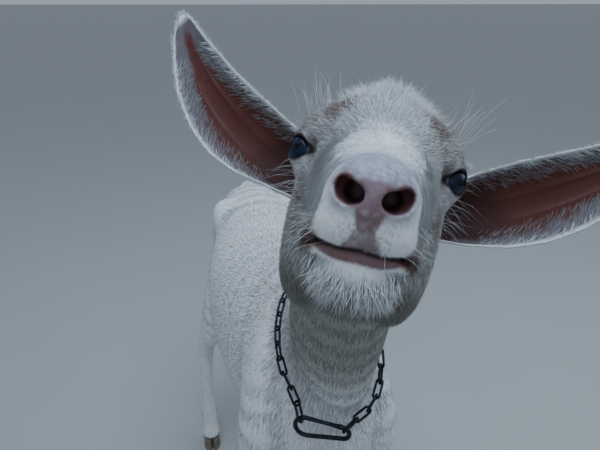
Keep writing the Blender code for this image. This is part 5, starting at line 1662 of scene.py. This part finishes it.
class GOAT_OT_long_hairs(bpy.types.Operator):
    """Grow the crown's strands, the whiskers, the hairs at the ears, the lashes and the chin's fringe"""

    bl_idname = "goat.long_hairs"
    bl_label = "Long hairs"

    def execute(self, context):
        coat, look = stated(context)
        hair = goat_hair()
        rows = (
            # near a place on the left, within, how many, seed, run, share of the length, width and droop
            ((0.000, 0.014, 0.044), (0.026, 0.022, 0.014), 1100, 61, (-0.50, 0.42, 0.62), 0.40, 0.0006, 0.18),
            ((-0.014, 0.048, 0.024), (0.014, 0.010, 0.010), 36, 62, (-0.10, 0.40, 0.92), 1.0, 0.00032, 0.12),
            ((-0.036, 0.056, -0.020), (0.014, 0.012, 0.018), 80, 63, (0.35, 0.95, -0.10), 0.75, 0.0004, 0.40),
            ((0.106, 0.011, -0.078), (0.012, 0.014, 0.007), 900, 64, (0.34, 0.16, -0.95), 0.3, 0.0006, -0.10),
            ((0.108, 0.024, -0.052), (0.014, 0.008, 0.010), 22, 65, (0.50, 0.80, -0.35), 0.45, 0.0003, 0.20),
            ((0.002, 0.063, 0.012), (0.006, 0.006, 0.003), 90, 66, (0.60, 0.75, 0.10), 0.18, 0.0004, 0.15),
        )
        made = [long_hairs(*where, coat.whisker * share, width, droop, look)
                for *where, share, width, droop in rows]
        coat_piece("coat_long_hairs", made, hair)
        return {"FINISHED"}


class GOAT_OT_body_coat(bpy.types.Operator):
    """Grow the hair of neck, trunk, legs and tail"""

    bl_idname = "goat.body_coat"
    bl_label = "Body coat"

    def execute(self, context):
        coat, look = stated(context)
        hair = goat_hair()
        rows = (
            ("coat_neck", "neck", 26000, on_neck, coat.neck, 0.0009, 0.070, 0.025, False, 41),
            ("coat_trunk_front", "trunk", 41000, on_fore_trunk, coat.trunk, 0.0010, 0.040, 0.015, False, 42),
            ("coat_trunk_back", "trunk", 36000, on_hind_trunk, coat.trunk, 0.0011, 0.040, 0.015, False, 43),
            ("coat_legs", "legs", 25000, on_legs, coat.leg, 0.0012, 0.13, 0.07, False, 44),
            ("coat_tail", "trunk", 2600, on_tail, coat.tail, 0.0018, 0.24, 0.16, True, 45),
        )
        for name, part, count, where, long, wide, lift, fall, bent, seed in rows:
            made = grown(int(count * coat.fullness), seed, part, look, where, long, wide, lift, fall, bent,
                         jitter=0.06, side=0.08, deep=0.12, spread=0.04, painted_root_shade=0.06)
            coat_piece(name, [made], hair)
        return {"FINISHED"}


class GOAT_OT_collar(bpy.types.Operator):
    """Make the chain's links, the snap and its gate"""

    bl_idname = "goat.collar"
    bl_label = "Chain collar"

    def execute(self, context):
        steel = steel_material(stated(context)[1].steel)
        for node in sorted(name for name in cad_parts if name.startswith("collar_link")):
            piece = new_piece("steel_" + node[7:], *link_like(node), steel)
            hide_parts(node)
        rod, gate, out = snap_rods()
        for node, (path, radius) in (("collar_snap", rod), ("collar_snap_gate", gate)):
            piece = new_piece("steel_" + node[7:], *tube(path, radius, 20, out, False), steel)
            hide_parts(node)
        return {"FINISHED"}


class GOAT_OT_stage(bpy.types.Operator):
    """Lay the floor, and set up the soft lights and the camera"""

    bl_idname = "goat.stage"
    bl_label = "Stage"

    def execute(self, context):
        scene = context.scene
        half = FLOOR_HALF
        corners = [(-half, -half, 0), (half, -half, 0), (half, half, 0), (-half, half, 0)]
        mesh = bpy.data.meshes.new("floor")
        mesh.from_pydata(corners, [], [(0, 1, 2, 3)])
        mesh.materials.append(floor_material())
        floor = bpy.data.objects.new("floor", mesh)
        scene.collection.objects.link(floor)
        world = bpy.data.worlds.new("soft_sky")
        world.use_nodes = True
        world.node_tree.nodes["Background"].inputs["Color"].default_value = (0.72, 0.84, 1.0, 1)
        world.node_tree.nodes["Background"].inputs["Strength"].default_value = 0.48
        scene.world = world
        for name, at, aim, size, power, colour in (
            ("light_overhead", (0.0, -0.5, 2.7), (0, -0.1, 0.7), 2.0, 42, (0.62, 0.80, 1.0)),
            ("light_front", (-0.6, -2.3, 2.1), (0, -0.3, 0.9), 1.6, 4, (0.70, 0.84, 1.0)),
            ("light_left", (1.9, 0.2, 1.7), (0, 0, 0.6), 1.5, 8, (0.70, 0.84, 1.0)),
        ):
            lamp = bpy.data.lights.new(name, "AREA")
            lamp.size, lamp.energy, lamp.color = size, power, colour
            light = bpy.data.objects.new(name, lamp)
            light.location = at
            light.rotation_euler = (Vector(aim) - Vector(at)).to_track_quat("-Z", "Y").to_euler()
            scene.collection.objects.link(light)
        lens = bpy.data.cameras.new("camera")
        lens.lens, lens.sensor_width, lens.clip_start = CAMERA_LENS, SENSOR_WIDTH, NEAREST_SEEN
        camera = bpy.data.objects.new("camera", lens)
        ahead = Vector((-math.sin(CAMERA_LEFT) * math.cos(CAMERA_DOWN),
                        math.cos(CAMERA_LEFT) * math.cos(CAMERA_DOWN), -math.sin(CAMERA_DOWN)))
        turned = ahead.to_track_quat("-Z", "Y").to_matrix().to_4x4()
        camera.matrix_world = Matrix.Translation(Vector(CAMERA_AT - ORIGIN)) @ turned
        scene.collection.objects.link(camera)
        scene.camera = camera
        return {"FINISHED"}


OPERATORS = (GOAT_OT_skin, GOAT_OT_eyes, GOAT_OT_feet, GOAT_OT_head_coat, GOAT_OT_ear_coat,
             GOAT_OT_long_hairs, GOAT_OT_body_coat, GOAT_OT_collar, GOAT_OT_stage)


class GOAT_PT_panel(bpy.types.Panel):
    """Lists the goat's pieces and its settings"""

    bl_idname = "GOAT_PT_panel"
    bl_label = "Nanny goat"
    bl_space_type = "VIEW_3D"
    bl_region_type = "UI"
    bl_category = "Goat"

    def draw(self, context):
        for operator in OPERATORS:
            self.layout.operator(operator.bl_idname)
        for settings in (context.scene.goat_coat, context.scene.goat_finish):
            column = self.layout.column()
            for name in settings.__annotations__:
                column.prop(settings, name)


CLASSES = (GoatCoat, GoatFinish, *OPERATORS, GOAT_PT_panel)


def register():
    for cls in CLASSES:
        bpy.utils.register_class(cls)
    bpy.types.Scene.goat_coat = bpy.props.PointerProperty(type=GoatCoat)
    bpy.types.Scene.goat_finish = bpy.props.PointerProperty(type=GoatFinish)


def unregister():
    del bpy.types.Scene.goat_finish
    del bpy.types.Scene.goat_coat
    for cls in reversed(CLASSES):
        bpy.utils.unregister_class(cls)


def main():
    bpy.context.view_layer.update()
    register()
    for operator in OPERATORS:
        getattr(bpy.ops.goat, operator.bl_idname.split(".")[1])()


if __name__ == "__main__":
    main()
